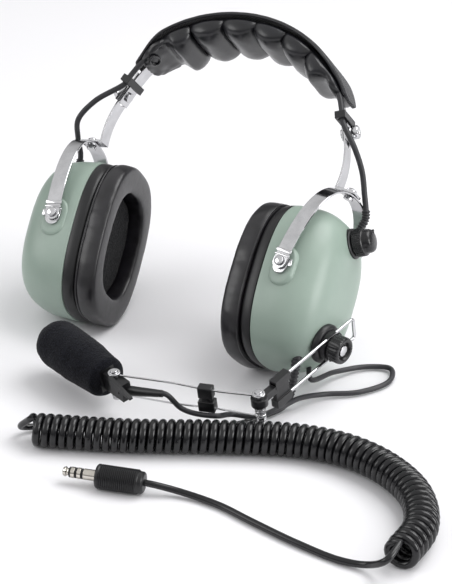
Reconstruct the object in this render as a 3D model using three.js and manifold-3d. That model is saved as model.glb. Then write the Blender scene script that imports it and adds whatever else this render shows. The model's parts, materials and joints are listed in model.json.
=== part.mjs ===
// A passive aviation headset with a volume control, a wire boom microphone and a coiled cord.
// It rests on a table at z = 0. Millimetres, +Z up, +X is the wearer's left, -Y is the wearer's front.
// Depth in an ear cup is measured outwards from the face of its ear seal.
import * as THREE from "three";
import { mergeVertices } from "three/addons/utils/BufferGeometryUtils.js";
import Module from "manifold-3d";

const wasm = await Module();
wasm.setup();

const GAP = 0.3; // clearance between pieces that touch

// Pose of the resting headset
const HEAD_HEIGHT = 56.5; // ear-cup centre line above the table
const HEAD_SHIFT = 0.5;
const HEAD_LEAN = 43; // degrees that the headband leans back
const HEAD_ROLL = 3.4; // degrees that it leans to the wearer's right

// Headband: an elliptical arch that runs into straight legs
const ARCH_HALF_WIDTH = 93.2;
const ARCH_RISE = 79.5;
const ARCH_BASE = 100.7; // arch centre above the ear-cup centre line
const LEG_ANGLE = 19.4; // degrees that the legs splay outwards
const COVER_THICKNESS = 2.8;
const COVER_WIDTH = 46;
const PAD_WIDTH = 48;
const PAD_OUTER = 3.2; // depths below the outer face of the arch
const CHANNEL_FLOOR = 8.4;
const PAD_TAB = 11;
const PAD_INNER = 19.5;
const CHANNEL_WIDTH = 27;
const COVER_START = 24; // degrees along the arch
const PAD_START = 27;
const PAD_FULL = 42;
const BAND_WIDTH = 12;
const STRAP_OUTER = 5.4;
const STRAP_INNER = 6.6;
const SPRING_OUTER = 6.9;
const SPRING_INNER = 7.9;
const SPRING_LEG = 18; // length of the straight legs below the arch
const SCREW_DROP = 11; // thumb screw below the end of the arch
const PLATE_OUTER = 3.4;
const PLATE_INNER = 5.1;
const LANE_DEPTH = 5.6; // centre of the cable that runs under the cover
const LANE_Y = 10.8;

// Strap: straight in the clamp, then curved in to its foot
const STRAP_STRAIGHT = 26;
const STRAP_CURVE = 31;
const STRAP_THICKNESS = STRAP_INNER - STRAP_OUTER;
const SLOT_TOP = -2.7;
const SLOT_BOTTOM = -25.5;
const FOOT_REACH = 9.4; // from the strap to the swivel
const FOOT_TILT = 8.3; // degrees that the swivel leans outwards

// Stirrup and its swivel
const PIVOT_DEPTH = 40;
const PIVOT_HEIGHT = 5;
const STIRRUP_HEIGHT = 66.5; // top bar above the tilt pivots
const STIRRUP_HALF_SPAN = 43.55;
const STIRRUP_THICKNESS = 1.5;
const STIRRUP_WIDTH = 10.5;
const STIRRUP_POWER = 2.4;
const PIN_RADIUS = 2;
const HOLE_RADIUS = 2.3;
const SIDES = {
  left: { slide: 3.8, yaw: -7.3, tilt: -10.2 },
  right: { slide: 6.3, yaw: 3.9, tilt: -4.3 },
};

// Ear cup: superellipse sections
const OVAL_POWER = 2.6;
const OVAL_SIDES = 28;
const SEAL_HALF_WIDTH = 39.7;
const SEAL_HALF_HEIGHT = 57.2;
const SEAL_HOLE_SHARE = 0.64;
const SEAL_DEPTH = 15.4;
const DOME_RIM = 24.7;
const DOME_TOP = 68;
const DOME_WALL = 2.6;
const DOME_POWER = 3.3;
const DOME_HALF_WIDTH = 39.2;
const DOME_HALF_HEIGHT = 56.5;
const BOSS_FACE = 40.2; // front and rear pivot bosses, from the cup centre plane
const BOSS_RADIUS = 8;

// Boom mount and microphone boom
const MOUNT_Y = -1.3;
const MOUNT_H = -34.8;
const MOUNT_TILT = 12.5;
const ROD_PLANE = 6.1; // plane of the boom wire above the dome
const BOOM_SWING = 53;
const ROD_RADIUS = 1.15;
const ROD_OFFSET = 7.85;
const ROD_REAR = 24;
const ELBOW_REACH = 75;
const FRONT_SWING = -68;
const MIC_REACH = 99;
const MIC_SWING = -32.4;
const MIC_RISE = 3.5;
const WIRE_RADIUS = 0.7;
const SCREEN_RADIUS = 16;
const SCREEN_NEAR = 9;
const SCREEN_FAR = 73;

// Volume control
const KNOB_Y = 1.8;
const KNOB_H = 37.5;
const KNOB_TILT = 17;

// Cables, coil and plug
const CABLE_RADIUS = 2;
const CORD_RADIUS = 2.2;
const COIL_RADIUS = 8.6; // to the centre of the cord
const COIL_TURNS = 60;
const COIL_AXIS_HEIGHT = 11.2;
const PLUG_HEIGHT = 8;
const FINGER_RADIUS = 3.55;
const HANDLE_RADIUS = 7.9;

const degrees = THREE.MathUtils.degToRad;
const v = (x, y, z) => new THREE.Vector3(x, y, z);

const FINISHES = {
  shell: { color: 0x9bb2a5, roughness: 0.45, metalness: 0 },
  vinyl: { color: 0x2b2a2f, roughness: 0.5, metalness: 0 },
  foam: { color: 0x1b1b24, roughness: 0.95, metalness: 0 },
  fabric: { color: 0x3c3c42, roughness: 0.9, metalness: 0 },
  chrome: { color: 0xd9d9dc, roughness: 0.12, metalness: 1 },
  steel: { color: 0x9a9aa0, roughness: 0.35, metalness: 1 },
  black: { color: 0x1a1a1c, roughness: 0.4, metalness: 0 },
  rubber: { color: 0x38383c, roughness: 0.6, metalness: 0 },
  brass: { color: 0xc9a24a, roughness: 0.3, metalness: 1 },
};

// ---- solids ----

function add(parent, name, geometry, finish) {
  const mesh = new THREE.Mesh(geometry, new THREE.MeshStandardMaterial(FINISHES[finish]));
  mesh.name = name;
  parent.add(mesh);
  return mesh;
}

function group(parent, position = v(0, 0, 0), rotation = [0, 0, 0], order = "XYZ") {
  const made = new THREE.Group();
  made.position.copy(position);
  made.rotation.set(...rotation.map(degrees), order);
  parent.add(made);
  return made;
}

function solidOf(geometry) {
  const bare = geometry.clone();
  bare.deleteAttribute("normal");
  bare.deleteAttribute("uv");
  const merged = mergeVertices(bare, 1e-4);
  const vertProperties = merged.attributes.position.array;
  const corners = Array.from(merged.index.array);
  const triVerts = new Uint32Array(corners.length);
  let used = 0;
  for (let i = 0; i < corners.length; i += 3) {
    const [a, b, c] = corners.slice(i, i + 3);
    if (a !== b && b !== c && c !== a) {
      triVerts.set([a, b, c], used);
      used += 3;
    }
  }
  return new wasm.Manifold(new wasm.Mesh({ numProp: 3, vertProperties, triVerts: triVerts.slice(0, used) }));
}

function geometryOf(solid) {
  const mesh = solid.getMesh();
  const made = new THREE.BufferGeometry();
  made.setAttribute("position", new THREE.BufferAttribute(mesh.vertProperties, 3));
  made.setIndex(new THREE.BufferAttribute(mesh.triVerts, 1));
  return made;
}

function cut(body, ...tools) {
  return geometryOf(tools.reduce((left, tool) => left.subtract(solidOf(tool)), solidOf(body)));
}

function join(...pieces) {
  return geometryOf(pieces.map(solidOf).reduce((sum, piece) => sum.add(piece)));
}

// A box between two corners.
function block(low, high) {
  const size = high.clone().sub(low);
  const centre = low.clone().add(high).multiplyScalar(0.5);
  return new THREE.BoxGeometry(size.x, size.y, size.z).translate(centre.x, centre.y, centre.z);
}

// A round bar between two points; endRadius makes it a cone.
function bar(from, to, radius, sides = 16, endRadius = radius) {
  const along = to.clone().sub(from);
  const made = new THREE.CylinderGeometry(endRadius, radius, along.length(), sides);
  made.translate(0, along.length() / 2, 0);
  made.applyQuaternion(new THREE.Quaternion().setFromUnitVectors(v(0, 1, 0), along.normalize()));
  return made.translate(from.x, from.y, from.z);
}

// A turned piece: points are [radius, distance along the axis].
function turned(profile, direction, origin = v(0, 0, 0), sides = 20) {
  const made = new THREE.LatheGeometry(profile.map(([r, d]) => new THREE.Vector2(r, d)), sides);
  made.applyQuaternion(new THREE.Quaternion().setFromUnitVectors(v(0, 1, 0), direction.clone().normalize()));
  return made.translate(origin.x, origin.y, origin.z);
}

const power = (value, n) => Math.sign(value) * Math.abs(value) ** (2 / n);

// A turned profile stretched to an oval: points are [share of the oval, depth].
function ovalSolid(profile, halfWidth, halfHeight, sides = OVAL_SIDES) {
  const made = new THREE.LatheGeometry(profile.map(([s, d]) => new THREE.Vector2(s, d)), sides);
  const place = made.attributes.position;
  for (let i = 0; i < place.count; i += 1) {
    const share = Math.hypot(place.getX(i), place.getZ(i));
    const angle = Math.atan2(place.getX(i), place.getZ(i));
    const depth = place.getY(i);
    const across = -share * halfWidth * power(Math.sin(angle), OVAL_POWER);
    const up = share * halfHeight * power(Math.cos(angle), OVAL_POWER);
    place.setXYZ(i, depth, across, up);
  }
  return made;
}

// Extrusions of a flat outline, centred on the plane that holds it.
function extrudeAlongX(shape, width, centre = 0) {
  const made = new THREE.ExtrudeGeometry(shape, { depth: width, bevelEnabled: false, curveSegments: 8 });
  made.translate(0, 0, -width / 2);
  made.applyMatrix4(new THREE.Matrix4().makeBasis(v(0, 1, 0), v(0, 0, 1), v(1, 0, 0)));
  return made.translate(centre, 0, 0);
}

function extrudeAlongY(shape, width, centre = 0) {
  const made = new THREE.ExtrudeGeometry(shape, { depth: width, bevelEnabled: false, curveSegments: 8 });
  made.translate(0, 0, -width / 2);
  made.applyMatrix4(new THREE.Matrix4().makeBasis(v(1, 0, 0), v(0, 0, 1), v(0, -1, 0)));
  return made.translate(0, centre, 0);
}

const shapeOf = (points) => new THREE.Shape(points.map(([x, y]) => new THREE.Vector2(x, y)));

// A cable or wire along a curve.
function swept(curve, radius, steps, sides = 6) {
  const ring = [];
  for (let i = 0; i < sides; i += 1) {
    const angle = (2 * Math.PI * i) / sides;
    ring.push([radius * Math.cos(angle), radius * Math.sin(angle)]);
  }
  return new THREE.ExtrudeGeometry(shapeOf(ring), { steps, extrudePath: curve, bevelEnabled: false });
}

const smooth = (points) => new THREE.CatmullRomCurve3(points, false, "centripetal");

// ---- headband outline, in the upright plane of the headband ----

const legAngle = degrees(LEG_ANGLE);
const tangentAngle = Math.atan((ARCH_RISE / ARCH_HALF_WIDTH) * Math.tan(legAngle));
const tangentX = ARCH_HALF_WIDTH * Math.cos(tangentAngle);
const tangentZ = ARCH_BASE + ARCH_RISE * Math.sin(tangentAngle);
const legUp = [-Math.sin(legAngle), Math.cos(legAngle)];

// A point of the arch, at a depth below its outer face.
function archPoint(angle, depth) {
  const x = Math.cos(angle) / ARCH_HALF_WIDTH;
  const z = Math.sin(angle) / ARCH_RISE;
  const length = Math.hypot(x, z);
  return [
    ARCH_HALF_WIDTH * Math.cos(angle) - (depth * x) / length,
    ARCH_BASE + ARCH_RISE * Math.sin(angle) - (depth * z) / length,
  ];
}

// A point of the left leg's line, at a depth below its outer face.
function legPoint(depth, along) {
  return [
    tangentX + along * legUp[0] - depth * Math.cos(legAngle),
    tangentZ + along * legUp[1] - depth * Math.sin(legAngle),
  ];
}

// Points of the arch from the left end to the right end.
function archLine(depth, start, steps) {
  const line = [];
  for (let i = 0; i <= steps; i += 1) {
    line.push(archPoint(start + ((Math.PI - 2 * start) * i) / steps, depth));
  }
  return line;
}

function archBand(outer, inner, start, steps) {
  return shapeOf([...archLine(outer, start, steps), ...archLine(inner, start, steps).reverse()]);
}

// The pad is thin at its end tabs and full between them.
function padShape() {
  const start = degrees(PAD_START);
  const steps = 20;
  const inner = [];
  for (let i = 0; i <= steps; i += 1) {
    const angle = start + ((Math.PI - 2 * start) * i) / steps;
    const fromEnd = Math.min(angle, Math.PI - angle);
    const full = THREE.MathUtils.smoothstep(fromEnd, degrees(PAD_START + 5), degrees(PAD_FULL));
    inner.push(archPoint(angle, PAD_TAB + (PAD_INNER - PAD_TAB) * full));
  }
  return shapeOf([...archLine(PAD_OUTER, start, 16), ...inner.reverse()]);
}

const mirrored = ([x, z]) => [-x, z];

function springLine(depth) {
  const foot = legPoint(depth, -SPRING_LEG);
  return [foot, ...archLine(depth, tangentAngle, 18), mirrored(foot)];
}

// ---- ear cup, in its own frame: x is depth, y is across, z is up from the seal's centre ----

// The dome's depth at a point across it.
function domeDepth(y, h) {
  const sum = Math.abs(y / DOME_HALF_WIDTH) ** OVAL_POWER + Math.abs(h / DOME_HALF_HEIGHT) ** OVAL_POWER;
  const share = sum ** (1 / OVAL_POWER);
  return DOME_RIM + (DOME_TOP - DOME_RIM) * (1 - share ** DOME_POWER) ** (1 / DOME_POWER);
}

const onDome = (y, h) => v(domeDepth(y, h), y, h);

function domeProfile(shrink, steps = 6) {
  const line = [];
  for (let i = 0; i <= steps; i += 1) {
    const angle = (Math.PI / 2) * (i / steps);
    const share = i === steps ? 0 : power(Math.cos(angle), DOME_POWER);
    const rise = power(Math.sin(angle), DOME_POWER) * (DOME_TOP - DOME_RIM - shrink);
    line.push([share * (1 - shrink / DOME_HALF_WIDTH), DOME_RIM + rise]);
  }
  return line;
}

function domeShell() {
  const profile = [...domeProfile(DOME_WALL, 5).reverse(), ...domeProfile(0)];
  return ovalSolid(profile, DOME_HALF_WIDTH, DOME_HALF_HEIGHT);
}

// The dome's outer form as a full solid, grown by a clearance, to cut pieces that sit on it.
function domeBlank(clearance) {
  const profile = [[0, DOME_RIM], ...domeProfile(0)];
  const grow = 1 + clearance / DOME_HALF_WIDTH;
  const made = ovalSolid(profile, DOME_HALF_WIDTH * grow, DOME_HALF_HEIGHT * grow);
  return made.translate(clearance, 0, 0);
}

function pivotBoss(side) {
  const outline = new THREE.Shape();
  outline.absarc(0, PIVOT_HEIGHT + 3, BOSS_RADIUS, 0, Math.PI);
  outline.absarc(0, PIVOT_HEIGHT - 6, BOSS_RADIUS, Math.PI, 2 * Math.PI);
  const depth = BOSS_FACE - 34.5;
  const made = new THREE.ExtrudeGeometry(outline, { depth, bevelEnabled: false, curveSegments: 8 });
  made.applyMatrix4(new THREE.Matrix4().makeBasis(v(1, 0, 0), v(0, 0, 1), v(0, -1, 0)));
  made.translate(PIVOT_DEPTH, BOSS_FACE, 0);
  return side > 0 ? made : made.rotateZ(Math.PI).translate(2 * PIVOT_DEPTH, 0, 0);
}

function acrossPin(side, radius, from, to, sides = 16) {
  return bar(v(PIVOT_DEPTH, side * from, PIVOT_HEIGHT), v(PIVOT_DEPTH, side * to, PIVOT_HEIGHT), radius, sides);
}

function earCup(parent, name, holes) {
  const cup = group(parent, v(-PIVOT_DEPTH, 0, -PIVOT_HEIGHT));
  const bosses = [pivotBoss(1), pivotBoss(-1)];
  const drilled = [acrossPin(1, HOLE_RADIUS, 36, 42), acrossPin(-1, HOLE_RADIUS, 36, 42), ...holes];
  add(cup, `${name}_dome`, cut(join(domeShell(), ...bosses), ...drilled), "shell");

  const hole = SEAL_HOLE_SHARE;
  const seal = [
    [hole, 1.5], [hole + 0.04, 0], [0.94, 0], [1, 3], [1, 11.5], [0.97, SEAL_DEPTH], [hole, SEAL_DEPTH], [hole, 1.5],
  ];
  add(cup, `${name}_ear_seal`, ovalSolid(seal, SEAL_HALF_WIDTH, SEAL_HALF_HEIGHT), "vinyl");

  const front = SEAL_DEPTH + GAP;
  const back = DOME_RIM - GAP;
  const flange = [
    [0.5, front + 2], [0.6, front], [0.92, front], [0.97, front + 3], [0.985, back],
    [0.92, back], [0.88, front + 5], [0.5, front + 5], [0.5, front + 2],
  ];
  add(cup, `${name}_seal_flange`, ovalSolid(flange, SEAL_HALF_WIDTH, SEAL_HALF_HEIGHT), "black");

  const liner = [[0, 10], [hole - 0.02, 10], [hole - 0.02, SEAL_DEPTH], [0, SEAL_DEPTH]];
  add(cup, `${name}_foam_liner`, ovalSolid(liner, SEAL_HALF_WIDTH, SEAL_HALF_HEIGHT), "foam");

  const speaker = [[0, 18.5], [18.6, 18.5], [18.6, 22], [12, 27], [11, 27], [11, 34], [0, 34]];
  add(cup, `${name}_speaker`, turned(speaker, v(1, 0, 0), v(0, 0, 0), 16), "steel");

  for (const [place, side] of [["front", -1], ["rear", 1]]) {
    const inner = BOSS_FACE + GAP;
    const outer = inner + 1.9;
    const low = v(PIVOT_DEPTH - 5.5, side > 0 ? inner : -outer, PIVOT_HEIGHT - 8);
    const high = v(PIVOT_DEPTH + 5.5, side > 0 ? outer : -inner, PIVOT_HEIGHT + 8);
    add(cup, `${name}_pivot_bracket_${place}`, cut(block(low, high), acrossPin(side, HOLE_RADIUS, 38, 46)), "chrome");
    const head = STIRRUP_HALF_SPAN + STIRRUP_THICKNESS / 2 + GAP;
    const screw = [[0, -7.5], [PIN_RADIUS, -7.5], [PIN_RADIUS, 0], [3.6, 0], [3.4, 1.3], [2, 1.9], [0, 1.9]];
    const seat = v(PIVOT_DEPTH, side * head, PIVOT_HEIGHT);
    add(cup, `${name}_pivot_screw_${place}`, turned(screw, v(0, side, 0), seat, 12), "chrome");
  }
  return cup;
}

// ---- stirrup and strap, built for the left side ----

function stirrupOutline(offset) {
  const halfSpan = STIRRUP_HALF_SPAN + offset;
  const height = STIRRUP_HEIGHT + offset;
  const line = [[halfSpan, -5]];
  for (let i = 0; i <= 18; i += 1) {
    const angle = (Math.PI * i) / 18;
    line.push([halfSpan * power(Math.cos(angle), STIRRUP_POWER), height * power(Math.sin(angle), STIRRUP_POWER)]);
  }
  line.push([-halfSpan, -5]);
  return line;
}

function stirrup() {
  const half = STIRRUP_THICKNESS / 2;
  const outline = shapeOf([...stirrupOutline(half), ...stirrupOutline(-half).reverse()]);
  const pin = bar(v(0, -60, 0), v(0, 60, 0), HOLE_RADIUS);
  const swivel = bar(v(0, 0, STIRRUP_HEIGHT - 5), v(0, 0, STIRRUP_HEIGHT + 5), HOLE_RADIUS);
  return cut(extrudeAlongX(outline, STIRRUP_WIDTH), pin, swivel);
}

const footBottom = STIRRUP_HEIGHT + STIRRUP_THICKNESS / 2 + GAP;
const footTop = footBottom + STIRRUP_THICKNESS;
const footTilt = degrees(FOOT_TILT);

// Points down the strap, offset from its centre line, in the upright plane of the headband.
function strapLine(offset) {
  const steps = 8;
  let [x, z] = legPoint((STRAP_OUTER + STRAP_INNER) / 2, 1);
  const line = [[x, z, legAngle]];
  x += STRAP_STRAIGHT * Math.sin(legAngle);
  z -= STRAP_STRAIGHT * Math.cos(legAngle);
  line.push([x, z, legAngle]);
  for (let i = 1; i <= steps; i += 1) {
    const turn = (legAngle + footTilt) / steps;
    const middle = legAngle - (i - 0.5) * turn;
    x += (STRAP_CURVE / steps) * Math.sin(middle);
    z -= (STRAP_CURVE / steps) * Math.cos(middle);
    line.push([x, z, legAngle - i * turn]);
  }
  return line.map(([a, b, angle]) => [a + offset * Math.cos(angle), b + offset * Math.sin(angle)]);
}

// The swivel's frame: its origin is on the tilt pivots, its z is the swivel axis.
const [strapEndX, strapEndZ] = strapLine(0).at(-1);
const pivotDrop = (footBottom + footTop) / 2;
const PIVOT = v(
  strapEndX + FOOT_REACH * Math.cos(footTilt) - pivotDrop * Math.sin(footTilt),
  0,
  strapEndZ - FOOT_REACH * Math.sin(footTilt) - pivotDrop * Math.cos(footTilt),
);

function swivelPoint(across, up) {
  return [
    PIVOT.x + across * Math.cos(footTilt) + up * Math.sin(footTilt),
    PIVOT.z - across * Math.sin(footTilt) + up * Math.cos(footTilt),
  ];
}

function strap() {
  const half = STRAP_THICKNESS / 2;
  const toe = STIRRUP_WIDTH / 2 + 0.5;
  const outline = shapeOf([
    ...strapLine(half).slice(0, -1),
    swivelPoint(half - FOOT_REACH, footTop), swivelPoint(toe, footTop),
    swivelPoint(toe, footBottom), swivelPoint(-half - FOOT_REACH, footBottom),
    ...strapLine(-half).slice(0, -1).reverse(),
  ]);
  const slot = shapeOf([
    legPoint(STRAP_INNER + 2, SLOT_TOP), legPoint(STRAP_OUTER - 2, SLOT_TOP),
    legPoint(STRAP_OUTER - 2, SLOT_BOTTOM), legPoint(STRAP_INNER + 2, SLOT_BOTTOM),
  ]);
  const [x0, z0] = swivelPoint(0, footBottom - 3);
  const [x1, z1] = swivelPoint(0, footTop + 3);
  const swivel = bar(v(x0, 0, z0), v(x1, 0, z1), HOLE_RADIUS);
  return cut(extrudeAlongY(outline, BAND_WIDTH), extrudeAlongY(slot, 2 * HOLE_RADIUS), swivel);
}

// Everything on one side of the headband that hangs from it.
function hangingSide(parent, name, holes) {
  const { slide, yaw, tilt } = SIDES[name];
  const side = group(parent, v(0, 0, 0), [0, 0, name === "left" ? 0 : 180]);
  const slider = group(side, v(slide * legUp[0], 0, slide * legUp[1]));
  add(slider, `${name}_strap`, strap(), "chrome");
  const swivel = group(slider, PIVOT, [0, FOOT_TILT, yaw]);
  add(swivel, `${name}_stirrup`, stirrup(), "chrome");
  const top = footTop + GAP;
  const under = STIRRUP_HEIGHT - STIRRUP_THICKNESS / 2 - GAP;
  const screw = [
    [0, under - 2], [3.4, under - 2], [3.4, under], [PIN_RADIUS, under],
    [PIN_RADIUS, top], [3.8, top], [3.6, top + 1.6], [2, top + 2.6], [0, top + 2.6],
  ];
  add(swivel, `${name}_swivel_screw`, turned(screw, v(0, 0, 1), v(0, 0, 0), 12), "chrome");
  const tilted = group(swivel, v(0, 0, 0), [0, tilt, 0]);
  return { side, cup: earCup(tilted, name, holes) };
}

// ---- headband ----

function addHeadband(head) {
  const start = degrees(PAD_START);
  const channel = archBand(0, CHANNEL_FLOOR, start - 0.1, 16);
  const pad = extrudeAlongY(padShape(), PAD_WIDTH);
  add(head, "headband_pad", cut(pad, extrudeAlongY(channel, CHANNEL_WIDTH)), "vinyl");
  const cover = archBand(0, COVER_THICKNESS, degrees(COVER_START), 20);
  add(head, "headband_cover", extrudeAlongY(cover, COVER_WIDTH), "fabric");

  const spring = shapeOf([...springLine(SPRING_OUTER), ...springLine(SPRING_INNER).reverse()]);
  const holes = [1, -1].map((side) => {
    const [x0, z0] = legPoint(SPRING_OUTER - 3, -SCREW_DROP);
    const [x1, z1] = legPoint(SPRING_INNER + 3, -SCREW_DROP);
    return bar(v(side * x0, 0, z0), v(side * x1, 0, z1), HOLE_RADIUS);
  });
  add(head, "headband_spring", cut(extrudeAlongY(spring, BAND_WIDTH), ...holes), "steel");
}

// Thumb screw, clamp plate and cable clip at one end of the headband.
// The frame's x points out of the leg, its z runs up the leg and its origin is at the end of the arch.
function addClamp(side, name) {
  const sign = name === "left" ? 1 : -1;
  const leg = group(side, v(tangentX, 0, tangentZ), [0, -LEG_ANGLE, 0]);
  const plate = block(v(-PLATE_INNER, -7, -SPRING_LEG + 0.5), v(-PLATE_OUTER, 7, -5.2));
  const hole = bar(v(-12, 0, -SCREW_DROP), v(0, 0, -SCREW_DROP), HOLE_RADIUS);
  add(leg, `${name}_clamp_plate`, cut(plate, hole), "steel");
  const nutFace = -PLATE_OUTER + GAP;
  const backFace = -SPRING_INNER - GAP;
  const screw = [
    [0, backFace - 1.5], [3.6, backFace - 1.5], [3.6, backFace], [1.9, backFace], [1.9, nutFace],
    [4.2, nutFace], [4.8, nutFace + 1], [4.8, nutFace + 5], [4.2, nutFace + 6], [2, nutFace + 6], [0, nutFace + 4],
  ];
  add(leg, `${name}_thumb_screw`, turned(screw, v(1, 0, 0), v(0, 0, -SCREW_DROP), 14), "chrome");
  const ends = [14.5, -8.4].map((y) => -sign * y);
  const body = block(v(-9.8, Math.min(...ends), -4.6), v(-2.2, Math.max(...ends), 0.6));
  const opening = block(v(-SPRING_INNER - 0.4, -6.6, -6), v(-STRAP_OUTER + 0.4, 6.6, 2));
  const laneY = -sign * LANE_Y;
  const lane = bar(v(-LANE_DEPTH, laneY, -6), v(-LANE_DEPTH, laneY, 2), CABLE_RADIUS + 0.8, 8);
  add(leg, `${name}_cable_clip`, cut(body, opening, lane), "black");
  return leg;
}

// ---- boom mount, boom and microphone ----

function addBoom(cup) {
  const surface = onDome(MOUNT_Y, MOUNT_H);
  const axis = v(Math.cos(degrees(MOUNT_TILT)), 0, -Math.sin(degrees(MOUNT_TILT)));
  const centre = surface.clone().addScaledVector(axis, ROD_PLANE);
  const at = (distance) => centre.clone().addScaledVector(axis, distance);

  const base = [[0, -9], [13.5, -9], [13.5, -4.6], [12.4, -2.6], [0, -2.6]];
  const bore = bar(at(-6.5), at(0), HOLE_RADIUS);
  const blank = domeBlank(GAP);
  add(cup, "boom_mount", cut(turned(base, axis, centre, 20), blank, bore), "black");

  const screw = [[0, -6.2], [PIN_RADIUS, -6.2], [PIN_RADIUS, 8.9], [4.2, 8.9], [3.8, 10.2], [2.4, 10.8], [0, 10.8]];
  add(cup, "boom_clamp_screw", turned(screw, axis, centre, 12), "chrome");

  const boom = group(cup, centre, [BOOM_SWING, MOUNT_TILT, 0], "YXZ");
  const turret = turned([[0, -2.3], [10.6, -2.3], [10.6, 1.6], [0, 1.6]], v(1, 0, 0), v(0, 0, 0), 20);
  const groove = (side) => {
    const inner = side * (ROD_OFFSET - ROD_RADIUS - GAP);
    const outer = side * (ROD_OFFSET + ROD_RADIUS + GAP);
    return block(v(-ROD_RADIUS - GAP, -14, Math.min(inner, outer)), v(3, 14, Math.max(inner, outer)));
  };
  const pinHole = bar(v(-4, 0, 0), v(12, 0, 0), HOLE_RADIUS);
  add(boom, "boom_turret", cut(turret, pinHole, groove(1), groove(-1)), "black");
  const knob = [
    [HOLE_RADIUS, 1.9], [8.8, 1.9], [9.3, 2.6], [9.3, 9.8], [8.4, 11.1], [6, 11.1], [5.6, 8.6], [HOLE_RADIUS, 8.6],
    [HOLE_RADIUS, 1.9],
  ];
  add(boom, "boom_knob", turned(knob, v(1, 0, 0), v(0, 0, 0), 18), "black");

  addBoomWire(boom);
  addElbow(boom);
  const front = group(boom, v(0, -ELBOW_REACH, 0), [0, 0, FRONT_SWING]);
  addMicWires(front);
  const mic = group(front, v(0, -MIC_REACH, MIC_RISE), [0, 0, MIC_SWING]);
  addMicrophone(mic);
  return { boom, front, mic };
}

// The closed loop of spring wire that slides through the turret.
function addBoomWire(boom) {
  const corner = 2.5;
  const path = new THREE.CurvePath();
  const points = [
    v(0, -57, ROD_OFFSET), v(0, ROD_REAR - corner, ROD_OFFSET), v(0, ROD_REAR, ROD_OFFSET),
    v(0, ROD_REAR, ROD_OFFSET - corner), v(0, ROD_REAR, corner - ROD_OFFSET), v(0, ROD_REAR, -ROD_OFFSET),
    v(0, ROD_REAR - corner, -ROD_OFFSET), v(0, -57, -ROD_OFFSET),
  ];
  path.add(new THREE.LineCurve3(points[0], points[1]));
  path.add(new THREE.QuadraticBezierCurve3(points[1], points[2], points[3]));
  path.add(new THREE.LineCurve3(points[3], points[4]));
  path.add(new THREE.QuadraticBezierCurve3(points[4], points[5], points[6]));
  path.add(new THREE.LineCurve3(points[6], points[7]));
  add(boom, "boom_wire", swept(path, ROD_RADIUS, 46, 6), "chrome");
}

const HUB_LOW = 1.5;
const HUB_HIGH = 7.5;
const UPPER_WIRE = 8.6;
const LOWER_WIRE = -8.2;

function addElbow(boom) {
  const sleeves = [1, -1].map((side) => {
    const z = side * ROD_OFFSET;
    return block(v(-2.9, -61, z - 2.9), v(2.9, -46, z + 2.9));
  });
  const bores = [1, -1].map((side) => {
    const z = side * ROD_OFFSET;
    return bar(v(0, -44, z), v(0, -58, z), ROD_RADIUS + GAP, 10);
  });
  const web = block(v(-1.6, -60, -6), v(1.6, -47, 6));
  const arm = block(v(-2.6, -72, 1.8), v(2.6, -59, 7.2));
  const hub = bar(v(0, -ELBOW_REACH, HUB_LOW), v(0, -ELBOW_REACH, HUB_HIGH), 5.6, 20);
  const pin = bar(v(0, -ELBOW_REACH, 0), v(0, -ELBOW_REACH, 9), 1.9);
  add(boom, "elbow_block", cut(join(...sleeves, web, arm, hub), ...bores, pin), "black");

  const bolt = [
    [0, -11], [3.4, -11], [3.4, LOWER_WIRE - 1], [1.6, LOWER_WIRE - 1], [1.6, UPPER_WIRE + 1],
    [4.3, UPPER_WIRE + 1], [4.3, UPPER_WIRE + 2.2], [2.6, UPPER_WIRE + 2.2], [2.2, UPPER_WIRE + 3.8], [0, UPPER_WIRE + 3.8],
  ];
  add(boom, "elbow_bolt", turned(bolt, v(0, 0, 1), v(0, -ELBOW_REACH, 0), 14), "chrome");

  const spring = coilAround(v(0, -ELBOW_REACH, LOWER_WIRE + 1.8), v(0, -ELBOW_REACH, HUB_LOW - 0.9), 3.4, 4);
  add(boom, "elbow_spring", swept(spring, 0.5, 32, 4), "chrome");
}

// A helix between two points on an upright axis.
class Helix extends THREE.Curve {
  constructor(centreAt, radius, turns) {
    super();
    Object.assign(this, { centreAt, radius, turns });
    this.arcLengthDivisions = 3000;
  }

  getPoint(t, target = new THREE.Vector3()) {
    const { centre, side, up } = this.centreAt(t);
    const angle = 2 * Math.PI * this.turns * t;
    target.copy(centre).addScaledVector(up, this.radius * Math.cos(angle));
    return target.addScaledVector(side, this.radius * Math.sin(angle));
  }
}

function coilAround(from, to, radius, turns) {
  const frame = (t) => ({ centre: from.clone().lerp(to, t), side: v(1, 0, 0), up: v(0, 1, 0) });
  return new Helix(frame, radius, turns);
}

// Two spring wires with an eye at each end, from the elbow bolt to the microphone bolt.
function micWire(elbowHeight, micHeight, bow) {
  const ring = (y, z) => {
    const outer = bar(v(0, y, z - WIRE_RADIUS), v(0, y, z + WIRE_RADIUS), 3.5, 12);
    return cut(outer, bar(v(0, y, z - 2), v(0, y, z + 2), 2, 12));
  };
  const path = smooth([
    v(0, -2.8, elbowHeight), v(0, -MIC_REACH * 0.3, elbowHeight * 0.8 + micHeight * 0.2 + bow),
    v(0, -MIC_REACH * 0.6, elbowHeight * 0.45 + micHeight * 0.55 - bow * 0.4), v(0, -MIC_REACH + 2.8, micHeight),
  ]);
  return join(ring(0, elbowHeight), ring(-MIC_REACH, micHeight), swept(path, WIRE_RADIUS, 12, 5));
}

function addMicWires(front) {
  add(front, "mic_wire_upper", micWire(UPPER_WIRE, MIC_RISE + 7.9, -1), "chrome");
  add(front, "mic_wire_lower", micWire(LOWER_WIRE, MIC_RISE - 7.9, 1), "chrome");
  const body = block(v(-3.2, -41, -8), v(3.4, -31, 11.3));
  const slot = block(v(-1.3, -50, -12), v(1.3, -20, 10.6));
  add(front, "boom_cable_clip", cut(body, slot), "black");
}

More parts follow.
